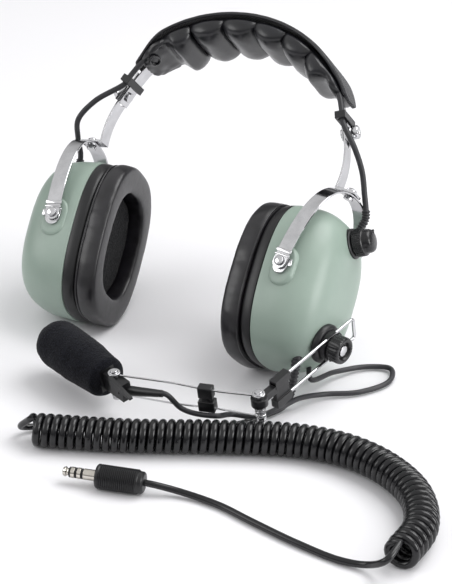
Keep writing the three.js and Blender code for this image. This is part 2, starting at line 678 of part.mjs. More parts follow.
function addMicrophone(mic) {
  const bolt = [
    [0, -10.8], [3.3, -10.8], [3.3, -8.9], [1.6, -8.9], [1.6, 8.9],
    [4.2, 8.9], [4.2, 10.1], [2.5, 10.1], [2.2, 11.6], [0, 11.6],
  ];
  add(mic, "mic_bolt", turned(bolt, v(0, 0, 1), v(0, 0, 0), 14), "chrome");

  const body = block(v(-3.6, -8.3, -6.7), v(3.6, 12, 6.7));
  const finOutline = shapeOf([[2, 4], [24, 3], [24, 4.4], [4, 10.6], [2, 10.6]]);
  const fin = extrudeAlongX(finOutline, 2.4, 5);
  const finRoot = block(v(2, 3, 1), v(6.2, 11, 6));
  const relief = bar(v(-1, 11, 0), v(-11.5, 36, 5), 3.6, 12, 2.4);
  const pin = bar(v(0, 0, -9), v(0, 0, 9), 1.9);
  add(mic, "mic_bracket", cut(join(body, fin, finRoot, relief), pin), "black");

  add(mic, "mic_capsule", block(v(-6, -44, -9), v(6, -8.6, 9)), "black");
  const screen = [
    [0, -SCREEN_FAR], [9, -SCREEN_FAR + 1], [14.5, -SCREEN_FAR + 4.5], [SCREEN_RADIUS, -SCREEN_FAR + 12],
    [SCREEN_RADIUS, -SCREEN_FAR + 28], [14.4, -SCREEN_NEAR - 6], [12.6, -SCREEN_NEAR - 1.5], [10, -SCREEN_NEAR], [0, -SCREEN_NEAR],
  ];
  const socket = block(v(-6.6, -45, -9.6), v(6.6, -5, 9.6));
  add(mic, "mic_windscreen", cut(turned(screen, v(0, 1, 0), v(0, 0, 0), 20), socket), "foam");
}

// ---- volume control ----

const knobCentre = onDome(KNOB_Y, KNOB_H);
const knobAxis = v(Math.cos(degrees(KNOB_TILT)), 0, Math.sin(degrees(KNOB_TILT)));

function addVolumeControl(cup) {
  const pot = [[0, -18], [7.5, -18], [7.5, -8], [3, -8], [3, 11], [0, 11]];
  add(cup, "volume_control", turned(pot, knobAxis, knobCentre, 14), "steel");
  const knob = [
    [3.4, 2], [9, 2], [9.6, 2.8], [9.6, 8.4], [8.2, 9], [8, 12.6], [6.2, 14.6], [0, 15.2],
    [0, 11.4], [3.4, 11.4], [3.4, 2],
  ];
  add(cup, "volume_knob", turned(knob, knobAxis, knobCentre, 18), "black");
}

// ---- cables, cord and plug, in the table frame ----

const cableEntry = onDome(16, 47); // rear upper shoulder of the cup
const bootEntry = onDome(-9, -51.5);
const micCableEntry = onDome(8, -51);

// A hole through the dome's wall at a point, along a direction.
function wallHole(point, direction, radius) {
  const half = direction.clone().normalize().multiplyScalar(7);
  return bar(point.clone().sub(half), point.clone().add(half), radius, 10);
}

function leftCupHoles() {
  return [
    wallHole(knobCentre, knobAxis, 3.5),
    wallHole(cableEntry, v(0.25, 0, 1), CABLE_RADIUS + 0.7),
    wallHole(bootEntry, v(0, 0.2, -1), 4.4),
    wallHole(micCableEntry, v(0.4, 0, -1), CABLE_RADIUS + 0.6),
  ];
}

function rightCupHoles() {
  const entry = v(cableEntry.x, -cableEntry.y, cableEntry.z);
  return [wallHole(entry, v(0.25, 0, 1), CABLE_RADIUS + 0.7)];
}

const headset = new THREE.Group();
const head = group(headset, v(HEAD_SHIFT, 0, HEAD_HEIGHT), [-HEAD_LEAN, -HEAD_ROLL, 0]);
addHeadband(head);
const left = hangingSide(head, "left", leftCupHoles());
const right = hangingSide(head, "right", rightCupHoles());
const leftLeg = addClamp(left.side, "left");
const rightLeg = addClamp(right.side, "right");
addVolumeControl(left.cup);
const { boom, front, mic } = addBoom(left.cup);
headset.updateMatrixWorld(true);

const placed = (frame, x, y, z) => frame.localToWorld(v(x, y, z));

// The cable leaves each cup at the rear, passes outside the stirrup and follows the headband.
// Points of its free spans are [outwards, towards the front, up] in the side's frame.
function crossoverCable() {
  const inCup = (cup, front, out) => placed(cup, cableEntry.x + out * 0.25, -front * cableEntry.y, cableEntry.z + out);
  const span = (side, front, points) => points.map(([x, forward, z]) => placed(side, x, front * forward, z));
  const inClip = (leg, front, z) => placed(leg, -LANE_DEPTH, front * LANE_Y, z);
  const lane = [];
  const start = degrees(19);
  for (let i = 12; i >= 0; i -= 1) {
    const [x, z] = archPoint(start + ((Math.PI - 2 * start) * i) / 12, LANE_DEPTH);
    lane.push(placed(head, x, -LANE_Y, z));
  }
  return smooth([
    inCup(right.cup, 1, -4),
    inCup(right.cup, 1, 7),
    ...span(right.side, 1, [[113.5, -9, 64], [114, 2, 74], [113, 11, 84], [103, 14, 99]]),
    inClip(rightLeg, 1, -5),
    inClip(rightLeg, 1, 0.6),
    ...lane,
    inClip(leftLeg, -1, 0.6),
    inClip(leftLeg, -1, -5),
    ...span(left.side, -1, [[99.5, 9, 97], [106.6, 6, 81], [110.6, -1, 70.5]]),
    inCup(left.cup, -1, 14),
    inCup(left.cup, -1, 7),
    inCup(left.cup, -1, -4),
  ]);
}

function micCable() {
  return smooth([
    placed(mic, -12.4, 38.2, 5.4),
    placed(front, 6.5, -52, -4.5),
    placed(front, 5.6, -44, -8),
    placed(front, 5.6, -29, -8),
    v(90, -92, 9),
    v(104, -85, 8),
    v(114, -70, 10),
    v(118, -52, 9),
    v(126, -31, 4),
    v(144, -15, 3),
    v(155, 8, 3),
    v(148, 24, 3),
    v(133, 18, 3),
    v(120, -4, 6),
    placed(left.cup, micCableEntry.x + 3, micCableEntry.y, micCableEntry.z - 7),
    placed(left.cup, micCableEntry.x - 1.6, micCableEntry.y, micCableEntry.z + 4),
  ]);
}

// The coil's axis lies on the table and bends towards the front at its right end.
const coilAxis = smooth([
  v(-9, -177, COIL_AXIS_HEIGHT), v(45, -153, COIL_AXIS_HEIGHT), v(103, -121, COIL_AXIS_HEIGHT),
  v(145, -101, COIL_AXIS_HEIGHT), v(177, -96, COIL_AXIS_HEIGHT), v(207, -102, COIL_AXIS_HEIGHT),
  v(236, -120, COIL_AXIS_HEIGHT), v(254, -150, COIL_AXIS_HEIGHT), v(256, -182, COIL_AXIS_HEIGHT),
]);

function cordCurve() {
  const frame = (t) => {
    const along = coilAxis.getTangentAt(t);
    return { centre: coilAxis.getPointAt(t), side: v(-along.y, along.x, 0), up: v(0, 0, 1) };
  };
  const coil = new Helix(frame, COIL_RADIUS, COIL_TURNS);
  const boot = placed(left.cup, bootEntry.x, bootEntry.y, bootEntry.z);
  const lead = smooth([
    boot.clone().add(v(3, -13, -19.5)),
    v(110, -58, 3.8), v(103, -76, 3), v(91, -97, 2.7), v(60, -120, 2.7), v(12, -146, 2.7), v(-14, -160, 3),
    v(-21, -172, 7), coil.getPoint(0),
  ]);
  const tail = smooth([
    coil.getPoint(1), v(254, -196, 15), v(240, -193, 5), v(222, -194, 2.7), v(190, -191, 2.7), v(157, -185, 2.7),
    v(132, -180, 2.7), v(105, -181, 4), v(86.5, -188.3, PLUG_HEIGHT),
  ]);
  const path = new THREE.CurvePath();
  path.add(lead);
  path.add(coil);
  path.add(tail);
  path.arcLengthDivisions = 4000;
  return path;
}

function addCords() {
  add(headset, "crossover_cable", swept(crossoverCable(), CABLE_RADIUS, 52, 5), "rubber");
  add(headset, "mic_cable", swept(micCable(), CABLE_RADIUS - 0.2, 46, 5), "rubber");
  add(headset, "coiled_cord", swept(cordCurve(), CORD_RADIUS, 430, 4), "rubber");
  const boot = placed(left.cup, bootEntry.x, bootEntry.y, bootEntry.z);
  const bootEnd = boot.clone().add(v(3, -12.4, -18.6));
  const bootTop = boot.clone().add(v(-0.6, 2.5, 3.8));
  add(headset, "cord_boot", bar(bootTop, bootEnd, 3.6, 12, 2.8), "rubber");
}

// The plug lies along the table, its tip towards the wearer's right.
function addPlug() {
  const start = v(84, -189, PLUG_HEIGHT);
  const heading = v(34, -203, PLUG_HEIGHT).sub(start).normalize();
  const piece = (name, profile, finish) => add(headset, name, turned(profile, heading, start, 14), finish);
  const handle = 31;
  const bore = CORD_RADIUS + 0.5;
  const mouth = FINGER_RADIUS + 0.45;
  piece("plug_handle", [
    [bore, 0], [6.2, 0], [HANDLE_RADIUS, 2], [HANDLE_RADIUS, 29.5], [6.9, handle], [mouth, handle],
    [mouth, handle - 3], [bore, handle - 3], [bore, 0],
  ], "black");
  const core = 1.7;
  const band = (from, to) => [[core + GAP, from], [FINGER_RADIUS, from], [FINGER_RADIUS, to], [core + GAP, to], [core + GAP, from]];
  piece("plug_sleeve", band(handle + GAP, 39.5), "brass");
  piece("plug_ring_rear", band(41, 43.6), "brass");
  piece("plug_ring_front", band(45.1, 47.7), "brass");
  piece("plug_insulator", [
    [0, handle - 8], [core, handle - 8], [core, 39.8], [FINGER_RADIUS - 0.1, 39.8], [FINGER_RADIUS - 0.1, 40.7],
    [core, 40.7], [core, 43.9], [FINGER_RADIUS - 0.1, 43.9], [FINGER_RADIUS - 0.1, 44.8], [core, 44.8],
    [core, 48], [FINGER_RADIUS - 0.1, 48], [FINGER_RADIUS - 0.1, 48.8], [0, 48.8],
  ], "black");
  piece("plug_tip", [[0, 49.1], [2.6, 49.1], [2.2, 50.2], [3.3, 51.2], [2.6, 52.8], [0, 53.8]], "brass");
}

addCords();
addPlug();

// The row's origin is at the middle of the base of everything that lies on the table.
const extent = new THREE.Box3().setFromObject(headset, true);
const middle = extent.getCenter(v(0, 0, 0));
headset.position.set(-middle.x, -middle.y, -extent.min.z);
headset.updateMatrixWorld(true);

export default headset;
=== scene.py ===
"""Looks of an aviation headset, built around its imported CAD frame.

The scene is in metres. The sizes and places below are in millimetres.
"""

import json
import math

import bmesh
import bpy
from mathutils import Matrix, Quaternion, Vector, noise


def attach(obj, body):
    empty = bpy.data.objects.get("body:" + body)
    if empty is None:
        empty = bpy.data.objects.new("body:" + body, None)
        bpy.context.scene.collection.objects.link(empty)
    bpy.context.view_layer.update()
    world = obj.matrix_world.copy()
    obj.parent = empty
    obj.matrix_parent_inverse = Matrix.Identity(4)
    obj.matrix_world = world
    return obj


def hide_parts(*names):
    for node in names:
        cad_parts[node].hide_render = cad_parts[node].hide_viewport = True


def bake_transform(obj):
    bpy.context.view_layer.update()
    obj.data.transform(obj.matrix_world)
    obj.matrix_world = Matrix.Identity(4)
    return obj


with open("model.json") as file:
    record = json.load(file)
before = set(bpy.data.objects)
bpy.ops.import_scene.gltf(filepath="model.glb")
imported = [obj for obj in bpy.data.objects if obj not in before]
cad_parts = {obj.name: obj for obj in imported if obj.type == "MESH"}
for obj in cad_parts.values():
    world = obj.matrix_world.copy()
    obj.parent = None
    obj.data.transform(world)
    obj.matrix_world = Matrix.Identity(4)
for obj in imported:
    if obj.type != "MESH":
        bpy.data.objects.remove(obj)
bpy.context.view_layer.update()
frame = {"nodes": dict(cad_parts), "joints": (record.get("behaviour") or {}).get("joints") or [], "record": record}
MM = 0.001

# Sizes of the headset, shared with its CAD
ARCH_HALF_WIDTH = 93.2
ARCH_RISE = 79.5
ARCH_BASE = 100.7
LEG_ANGLE = math.radians(19.4)
SCREW_DROP = 11
PIVOT_DEPTH = 40
PIVOT_HEIGHT = 5
OVAL_POWER = 2.6
SEAL_WIDTH = 39.7
SEAL_HEIGHT = 57.2
DOME_WIDTH = 39.2
DOME_HEIGHT = 56.5
DOME_RIM = 24.7
DOME_TOP = 68
DOME_POWER = 3.3
STIRRUP_HEIGHT = 66.5
STIRRUP_SPAN = 43.55
STIRRUP_POWER = 2.4
ROD_OFFSET = 7.85
LOBES = 6
MIC_TURN = math.radians(-32.4)
HEAD_HEIGHT = 56.5
HEAD_SHIFT = 0.5

# Where the soft pieces end along the headband's arch
PAD_START = math.radians(27)
COVER_START = math.radians(24)
LANE_START = math.radians(19)
LANE_SIDE = 10.8

# Cables and cord: where they leave the cups (across, up), and their radii
CROSSOVER_ENTRY = (16, 47)
MIC_CABLE_ENTRY = (8, -51)
BOOT_ENTRY = (-9, -51.5)
CROSSOVER_RADIUS = 2.0
MIC_CABLE_RADIUS = 1.8
CORD_RADIUS = 2.2
COIL_RADIUS = 8.6
COIL_TURNS = 60
COIL_HEIGHT = 11.2
COIL_FATTER = 1.19


# ---- frames ----


class Frame:
    """A right-handed set of axes. Points are given in millimetres."""

    def __init__(self, origin, x, y, z):
        self.origin = Vector(origin)
        self.x = Vector(x).normalized()
        self.y = Vector(y).normalized()
        self.z = Vector(z).normalized()

    def at(self, x, y, z):
        return self.origin + (self.x * x + self.y * y + self.z * z) * MM

    def moved(self, x, y, z):
        return Frame(self.at(x, y, z), self.x, self.y, self.z)

    def turned(self, axis, angle):
        turn = Quaternion(axis, angle)
        return Frame(self.origin, turn @ self.x, turn @ self.y, turn @ self.z)


joints = {j["name"]: j for j in frame["joints"]}
mounts = {m["name"]: m for m in frame["record"]["mounts"]}


def joint_axis(name):
    return Vector(joints[name]["axis"]).normalized()


def joint_point(name):
    return Vector(joints[name]["pos_m"])


def cup_frame(side):
    """x is depth from the seal's face, y is across, z is up from the seal's centre."""
    mount = mounts[side + "_seal_face"]
    out = -Vector(mount["axis"]).normalized()
    across = joint_axis(side + "_tilt")
    up = out.cross(across).normalized()
    return Frame(Vector(mount["pos_m"]) - up * 0.8 * SEAL_HEIGHT * MM, out, across, up)


CUPS = {side: cup_frame(side) for side in ("left", "right")}
tangent = math.atan(ARCH_RISE / ARCH_HALF_WIDTH * math.tan(LEG_ANGLE))
TANGENT_X = ARCH_HALF_WIDTH * math.cos(tangent)
TANGENT_Z = ARCH_BASE + ARCH_RISE * math.sin(tangent)
left_up = joint_axis("left_height")
right_up = -joint_axis("right_height")
head_z = (left_up + right_up).normalized()
head_x = (right_up - left_up).normalized()
middle = (joint_point("left_screw_turn") + joint_point("right_screw_turn")) / 2
HEAD = Frame(middle, head_x, head_z.cross(head_x), head_z)
HEAD = HEAD.moved(0, 0, SCREW_DROP * math.cos(LEG_ANGLE) - TANGENT_Z)
SIDES = {"left": HEAD, "right": HEAD.turned(HEAD.z, math.pi)}


def leg_frame(side):
    leg = SIDES[side].moved(TANGENT_X, 0, TANGENT_Z)
    return leg.turned(leg.y, -LEG_ANGLE)


LEGS = {side: leg_frame(side) for side in SIDES}


def swivel_frame(side):
    z = joint_axis(side + "_swivel")
    y = joint_axis(side + "_tilt")
    return Frame(joint_point(side + "_swivel"), y.cross(z), y, z)


SWIVELS = {side: swivel_frame(side) for side in SIDES}
boom_x = joint_axis("boom_swing")
boom_y = -joint_axis("boom_slide")
BOOM = Frame(joint_point("boom_swing"), boom_x, boom_y, boom_x.cross(boom_y))
elbow = joint_point("boom_elbow")
mic_point = joint_point("microphone_turn")
front_z = joint_axis("boom_elbow")
towards_mic = mic_point - elbow
front_y = -(towards_mic - front_z * towards_mic.dot(front_z)).normalized()
FRONT = Frame(elbow, front_y.cross(front_z), front_y, front_z)
MIC = Frame(mic_point, FRONT.x, FRONT.y, FRONT.z).turned(FRONT.z, MIC_TURN)
volume_x = joint_axis("volume_turn")
volume_z = volume_x.cross(CUPS["left"].y).normalized()
VOLUME = Frame(joint_point("volume_turn"), volume_x, volume_z.cross(volume_x), volume_z)

# The cords and the plug are placed from a point on the table below the headset's head frame.
TABLE = Frame(HEAD.origin - Vector((HEAD_SHIFT, 0, HEAD_HEIGHT)) * MM, (1, 0, 0), (0, 1, 0), (0, 0, 1))


def on_table(points):
    return [TABLE.at(*p) for p in points]


# ---- materials ----


def tree_of(name):
    material = bpy.data.materials.new(name)
    material.use_nodes = True
    tree = material.node_tree
    shader = tree.nodes["Principled BSDF"]
    return material, tree, shader


def texture(tree, kind, **inputs):
    node = tree.nodes.new(kind)
    for key, value in inputs.items():
        node.inputs[key.replace("_", " ")].default_value = value
    return node


def coordinates(tree, output="Object"):
    return tree.nodes.new("ShaderNodeTexCoord").outputs[output]


def ramp(tree, source, low, high, start=0.35, end=0.65):
    node = tree.nodes.new("ShaderNodeValToRGB")
    node.color_ramp.elements[0].position = start
    node.color_ramp.elements[1].position = end
    node.color_ramp.elements[0].color = (*low, 1)
    node.color_ramp.elements[1].color = (*high, 1)
    tree.links.new(source, node.inputs["Fac"])
    return node.outputs["Color"]


def span(tree, source, low, high):
    node = tree.nodes.new("ShaderNodeMapRange")
    node.inputs["To Min"].default_value = low
    node.inputs["To Max"].default_value = high
    tree.links.new(source, node.inputs["Value"])
    return node.outputs["Result"]


def bump(tree, height, depth, before=None, strength=1.0):
    """Raises the surface by a depth in millimetres."""
    node = tree.nodes.new("ShaderNodeBump")
    node.inputs["Strength"].default_value = strength
    node.inputs["Distance"].default_value = depth * MM
    tree.links.new(height, node.inputs["Height"])
    if before is not None:
        tree.links.new(before, node.inputs["Normal"])
    return node.outputs["Normal"]


def spots(tree, size, detail=3.0, output="Fac"):
    """Noise whose features are about a size in millimetres."""
    node = texture(tree, "ShaderNodeTexNoise", Scale=1000 / size, Detail=detail, Roughness=0.55)
    tree.links.new(coordinates(tree), node.inputs["Vector"])
    return node.outputs[output]


def cells(tree, size, feature="F1"):
    node = texture(tree, "ShaderNodeTexVoronoi", Scale=1000 / size)
    node.feature = feature
    tree.links.new(coordinates(tree), node.inputs["Vector"])
    return node.outputs["Distance"]


def shell_material():
    material, tree, shader = tree_of("shell_green")
    green = ramp(tree, spots(tree, 30), (0.262, 0.335, 0.287), (0.285, 0.362, 0.31))
    tree.links.new(green, shader.inputs["Base Color"])
    tree.links.new(span(tree, spots(tree, 6), 0.34, 0.44), shader.inputs["Roughness"])
    tree.links.new(bump(tree, spots(tree, 1.4), 0.012), shader.inputs["Normal"])
    shader.inputs["Coat Weight"].default_value = 0.12
    shader.inputs["Coat Roughness"].default_value = 0.3
    return material


def vinyl_material(name, low, high, rough):
    """Soft black vinyl with an embossed leather grain and fine creases."""
    material, tree, shader = tree_of(name)
    tree.links.new(ramp(tree, spots(tree, 9), low, high), shader.inputs["Base Color"])
    tree.links.new(span(tree, spots(tree, 5), rough - 0.06, rough + 0.1), shader.inputs["Roughness"])
    creases = bump(tree, spots(tree, 6, 4), 0.14)
    grain = bump(tree, cells(tree, 0.9), 0.03, creases, 0.6)
    tree.links.new(grain, shader.inputs["Normal"])
    shader.inputs["Coat Weight"].default_value = 0.25
    shader.inputs["Coat Roughness"].default_value = 0.22
    return material


def foam_material(name, low, high):
    """Open-cell foam with its pores painted darker: painted shade in the holes."""
    material, tree, shader = tree_of(name)
    # Painted shade: the cell pattern darkens the colour in the pores, standing in for shade inside the holes.
    tree.links.new(ramp(tree, cells(tree, 0.75), high, low, 0.1, 0.6), shader.inputs["Base Color"])
    shader.inputs["Roughness"].default_value = 0.95
    pores = bump(tree, cells(tree, 0.8), 0.35)
    tree.links.new(bump(tree, spots(tree, 2.2), 0.3, pores), shader.inputs["Normal"])
    shader.inputs["Sheen Weight"].default_value = 0.06
    shader.inputs["Specular IOR Level"].default_value = 0.15
    return material


def wave(tree, source, period, direction):
    node = texture(tree, "ShaderNodeTexWave", Scale=0.314 / period, Distortion=0.0)
    node.bands_direction = direction
    tree.links.new(source, node.inputs["Vector"])
    return node.outputs["Fac"]


def mixed(tree, factor, first, second):
    node = tree.nodes.new("ShaderNodeMix")
    tree.links.new(factor, node.inputs["Factor"])
    tree.links.new(first, node.inputs["A"])
    tree.links.new(second, node.inputs["B"])
    return node.outputs["Result"]


def webbing_material():
    """Plain weave: UV is in millimetres along and across the strip."""
    material, tree, shader = tree_of("woven_webbing")
    uv = coordinates(tree, "UV")
    checks = texture(tree, "ShaderNodeTexChecker", Scale=1 / 1.3)
    tree.links.new(uv, checks.inputs["Vector"])
    weave = mixed(tree, checks.outputs["Fac"], wave(tree, uv, 1.3, "X"), wave(tree, uv, 1.3, "Y"))
    thread = ramp(tree, weave, (0.006, 0.006, 0.008), (0.05, 0.05, 0.056), 0.1, 0.9)
    tree.links.new(thread, shader.inputs["Base Color"])
    shader.inputs["Roughness"].default_value = 0.85
    fuzz = bump(tree, spots(tree, 0.5), 0.08)
    tree.links.new(bump(tree, weave, 0.35, fuzz), shader.inputs["Normal"])
    shader.inputs["Sheen Weight"].default_value = 0.2
    return material


def metal_material(name, colour, rough, scratches, edge=0.25):
    """Polished metal whose base colour is painted darker towards its edges: a painted reflection of a white studio
    with dark sides.
    """
    material, tree, shader = tree_of(name)
    shader.inputs["Metallic"].default_value = 1.0
    # Painted reflection: the facing weight blends the colour into a darker copy (scaled by the edge factor, the
    # rim ramp) towards grazing angles, standing in for the studio's dark sides mirrored in the metal.
    facing = tree.nodes.new("ShaderNodeLayerWeight")
    facing.inputs["Blend"].default_value = 0.35
    dull = tuple(c * 0.84 for c in colour)
    face = ramp(tree, spots(tree, 12), dull, colour)
    rim = ramp(tree, spots(tree, 5), tuple(c * edge for c in colour), tuple(c * edge * 1.6 for c in colour))
    node = tree.nodes.new("ShaderNodeMix")
    node.data_type = "RGBA"
    tree.links.new(facing.outputs["Facing"], node.inputs["Factor"])
    colours = [socket for socket in node.inputs if socket.type == "RGBA"]
    tree.links.new(face, colours[0])
    tree.links.new(rim, colours[1])
    result = [socket for socket in node.outputs if socket.type == "RGBA"][0]
    tree.links.new(result, shader.inputs["Base Color"])
    tree.links.new(span(tree, spots(tree, 3, 6), rough * 0.7, rough * 1.5), shader.inputs["Roughness"])
    tree.links.new(bump(tree, spots(tree, 1.1, 6), scratches), shader.inputs["Normal"])
    return material


def plastic_material(name, colour, rough, texture_depth):
    material, tree, shader = tree_of(name)
    light = tuple(c * 1.35 for c in colour)
    tree.links.new(ramp(tree, spots(tree, 7), colour, light), shader.inputs["Base Color"])
    tree.links.new(span(tree, spots(tree, 2.5), rough - 0.05, rough + 0.09), shader.inputs["Roughness"])
    tree.links.new(bump(tree, spots(tree, 0.7), texture_depth), shader.inputs["Normal"])
    return material


MATERIALS = {
    "shell": shell_material(),
    "vinyl": vinyl_material("seal_vinyl", (0.005, 0.0045, 0.006), (0.009, 0.008, 0.011), 0.36),
    "pad_vinyl": vinyl_material("pad_vinyl", (0.003, 0.003, 0.0045), (0.006, 0.006, 0.009), 0.3),
    "foam": foam_material("liner_foam", (0.004, 0.004, 0.005), (0.03, 0.03, 0.032)),
    "windscreen_foam": foam_material("windscreen_foam", (0.002, 0.0022, 0.004), (0.017, 0.018, 0.026)),
    "webbing": webbing_material(),
    "chrome": metal_material("chrome", (0.8, 0.8, 0.82), 0.1, 0.002, 0.16),
    "steel": metal_material("steel", (0.52, 0.52, 0.54), 0.32, 0.01),
    "black_plastic": plastic_material("black_plastic", (0.006, 0.006, 0.007), 0.36, 0.015),
    "knob_plastic": plastic_material("knob_plastic", (0.005, 0.005, 0.006), 0.25, 0.006),
    "rubber": plastic_material("cable_rubber", (0.016, 0.016, 0.019), 0.42, 0.012),
    "coil_rubber": plastic_material("coil_rubber", (0.004, 0.004, 0.005), 0.2, 0.006),
    "brass": metal_material("nickel", (0.8, 0.76, 0.69), 0.14, 0.004),
}
SLOT_OF = {s["node"]: s["material_slot"] for s in frame["record"]["subparts"]}


# ---- meshes ----


def made(name, points, faces, slot, body=None, uvs=None):
    """A smooth mesh in the row frame that rides on a body."""
    mesh = bpy.data.meshes.new(name)
    mesh.from_pydata([tuple(p) for p in points], [], faces)
    mesh.validate()
    mesh.shade_smooth()
    mesh.set_sharp_from_angle(angle=math.radians(38))
    if uvs is not None:
        layer = mesh.uv_layers.new(name="weave")
        for loop in mesh.loops:
            layer.data[loop.index].uv = uvs[loop.vertex_index]
    obj = bpy.data.objects.new(name, mesh)
    bpy.context.scene.collection.objects.link(obj)
    obj.data.materials.append(MATERIALS[slot])
    if body:
        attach(obj, body)
    return obj


def loft(rings, closed_ends=True, looped=False):
    """Points and faces of a skin over rings of equal length."""
    count = len(rings[0])
    points = [p for ring in rings for p in ring]
    faces = []
    last = len(rings) if looped else len(rings) - 1
    for i in range(last):
        a = i * count
        b = ((i + 1) % len(rings)) * count
        for k in range(count):
            n = (k + 1) % count
            faces.append((a + k, a + n, b + n, b + k))
    if closed_ends and not looped:
        faces.append(tuple(reversed(range(count))))
        faces.append(tuple(range((len(rings) - 1) * count, len(rings) * count)))
    return points, faces


def oval_radius(angle, width, height, power=OVAL_POWER):
    across = abs(math.cos(angle)) / width
    up = abs(math.sin(angle)) / height
    return (across**power + up**power) ** (-1 / power)


def oval_ring(place, share, depth, width, height, sides=112, grow=0.0):
    ring = []
    for i in range(sides):
        angle = 2 * math.pi * i / sides
        radius = share * oval_radius(angle, width, height) + grow
        ring.append(place.at(depth, radius * math.cos(angle), radius * math.sin(angle)))
    return ring


def turned(place, profile, sides=48, flutes=None):
    """A skin around a frame's x axis. profile is (radius, distance), flutes is (count, depth, from, to)."""
    rings = []
    for radius, distance in profile:
        ring = []
        for i in range(sides):
            angle = 2 * math.pi * i / sides
            r = radius
            if flutes and flutes[2] <= distance <= flutes[3]:
                r -= flutes[1] * (0.5 + 0.5 * math.cos(angle * flutes[0]))
            ring.append(place.at(distance, r * math.cos(angle), r * math.sin(angle)))
        rings.append(ring)
    return loft(rings)


def spline(points, spacing=1.5):
    """A smooth line through points, as many close points."""
    line = [Vector(p) for p in points]
    ends = [line[0] * 2 - line[1]] + line + [line[-1] * 2 - line[-2]]
    out = []
    for i in range(1, len(ends) - 2):
        p0, p1, p2, p3 = ends[i - 1], ends[i], ends[i + 1], ends[i + 2]
        knots = [0.0]
        for a, b in ((p0, p1), (p1, p2), (p2, p3)):
            knots.append(knots[-1] + max((b - a).length, 1e-6) ** 0.5)
        steps = max(2, int((p2 - p1).length / (spacing * MM)))
        for s in range(steps):
            t = knots[1] + (knots[2] - knots[1]) * s / steps
            a1 = p0.lerp(p1, (t - knots[0]) / (knots[1] - knots[0]))
            a2 = p1.lerp(p2, (t - knots[1]) / (knots[2] - knots[1]))
            a3 = p2.lerp(p3, (t - knots[2]) / (knots[3] - knots[2]))
            b1 = a1.lerp(a2, (t - knots[0]) / (knots[2] - knots[0]))
            b2 = a2.lerp(a3, (t - knots[1]) / (knots[3] - knots[1]))
            out.append(b1.lerp(b2, (t - knots[1]) / (knots[2] - knots[1])))
    out.append(line[-1])
    return out


def tube_rings(line, radius, sides=14):
    """Rings along a line that never twist. radius is a number, or a function of the distance along."""
    rings = []
    normal = None
    travelled = 0.0
    for i, point in enumerate(line):
        ahead = line[min(i + 1, len(line) - 1)]
        behind = line[max(i - 1, 0)]
        along = (ahead - behind).normalized()
        if i:
            travelled += (point - line[i - 1]).length / MM
        if normal is None:
            normal = along.orthogonal().normalized()
        normal = (normal - along * normal.dot(along)).normalized()
        other = along.cross(normal)
        r = (radius(travelled) if callable(radius) else radius) * MM
        ring = []
        for k in range(sides):
            angle = 2 * math.pi * k / sides
            ring.append(point + normal * r * math.cos(angle) + other * r * math.sin(angle))
        rings.append(ring)
    return rings


def tube(name, line, radius, slot, body=None, sides=14):
    points, faces = loft(tube_rings(line, radius, sides))
    return made(name, points, faces, slot, body)


def box_mesh(place, low, high, bevel):
    """Points and faces of a block with rounded edges."""
    shape = bmesh.new()
    bmesh.ops.create_cube(shape, size=1)
    for vertex in shape.verts:
        for axis in range(3):
            vertex.co[axis] = low[axis] if vertex.co[axis] < 0 else high[axis]
    bmesh.ops.bevel(shape, geom=shape.edges[:], offset=bevel, segments=3, affect="EDGES", profile=0.5)
    shape.verts.index_update()
    points = [place.at(*vertex.co) for vertex in shape.verts]
    faces = [tuple(v.index for v in face.verts) for face in shape.faces]
    shape.free()
    return points, faces


# ---- ear cups ----


def dome_depth(share):
    return DOME_RIM + (DOME_TOP - DOME_RIM) * (1 - min(share, 1) ** DOME_POWER) ** (1 / DOME_POWER)


def on_dome(y, h):
    share = (abs(y / DOME_WIDTH) ** OVAL_POWER + abs(h / DOME_HEIGHT) ** OVAL_POWER) ** (1 / OVAL_POWER)
    return dome_depth(share)


def dome(side, body):
    """The shell: a rolled rim, a smooth crown and two raised bosses for the tilt pivots."""
    cup = CUPS[side]
    rings = [oval_ring(cup, 0.93, DOME_RIM + 0.4, DOME_WIDTH, DOME_HEIGHT)]
    rings.append(oval_ring(cup, 0.985, DOME_RIM + 0.1, DOME_WIDTH, DOME_HEIGHT))
    rings.append(oval_ring(cup, 1.0, DOME_RIM + 0.6, DOME_WIDTH, DOME_HEIGHT))
    rings.append(oval_ring(cup, 1.0, DOME_RIM + 4.2, DOME_WIDTH, DOME_HEIGHT))
    steps = 44
    for i in range(2, steps):
        angle = math.pi / 2 * i / steps
        share = math.cos(angle) ** (2 / DOME_POWER)
        depth = DOME_RIM + (DOME_TOP - DOME_RIM) * math.sin(angle) ** (2 / DOME_POWER)
        inset = 0.45 if depth > DOME_RIM + 4.6 else 0.0
        depth = max(depth, DOME_RIM + 4.6)
        rings.append(oval_ring(cup, share, depth, DOME_WIDTH, DOME_HEIGHT, grow=-inset * share))
    points, faces = loft(rings, closed_ends=False)
    count = len(rings[0])
    centre = len(points)
    points.append(cup.at(DOME_TOP, 0, 0))
    first = (len(rings) - 1) * count
    for k in range(count):
        faces.append((first + k, first + (k + 1) % count, centre))
    obj = made(side + "_dome_shell", points, faces, "shell", body)
    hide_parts(side + "_dome")
    for place, sign in (("front", -1), ("rear", 1)):
        rings = []
        for reach, grow in ((30, 2.6), (36.5, 2.0), (38.6, 1.2), (39.7, 0.4), (40.2, -0.8)):
            ring = []
            for i in range(40):
                angle = 2 * math.pi * i / 40
                up = PIVOT_HEIGHT + (3 if math.sin(angle) >= 0 else -6)
                depth = PIVOT_DEPTH + (8 + grow) * math.cos(angle)
                ring.append(cup.at(depth, sign * reach, up + (8 + grow) * math.sin(angle)))
            rings.append(ring if sign > 0 else ring[::-1])
        points, faces = loft(rings)
        boss = made(f"{side}_pivot_boss_{place}", points, faces, "shell", body)
        smooth_more(boss, 1)


def smooth_more(obj, levels):
    modifier = obj.modifiers.new("round", "SUBSURF")
    modifier.levels = levels
    modifier.render_levels = levels


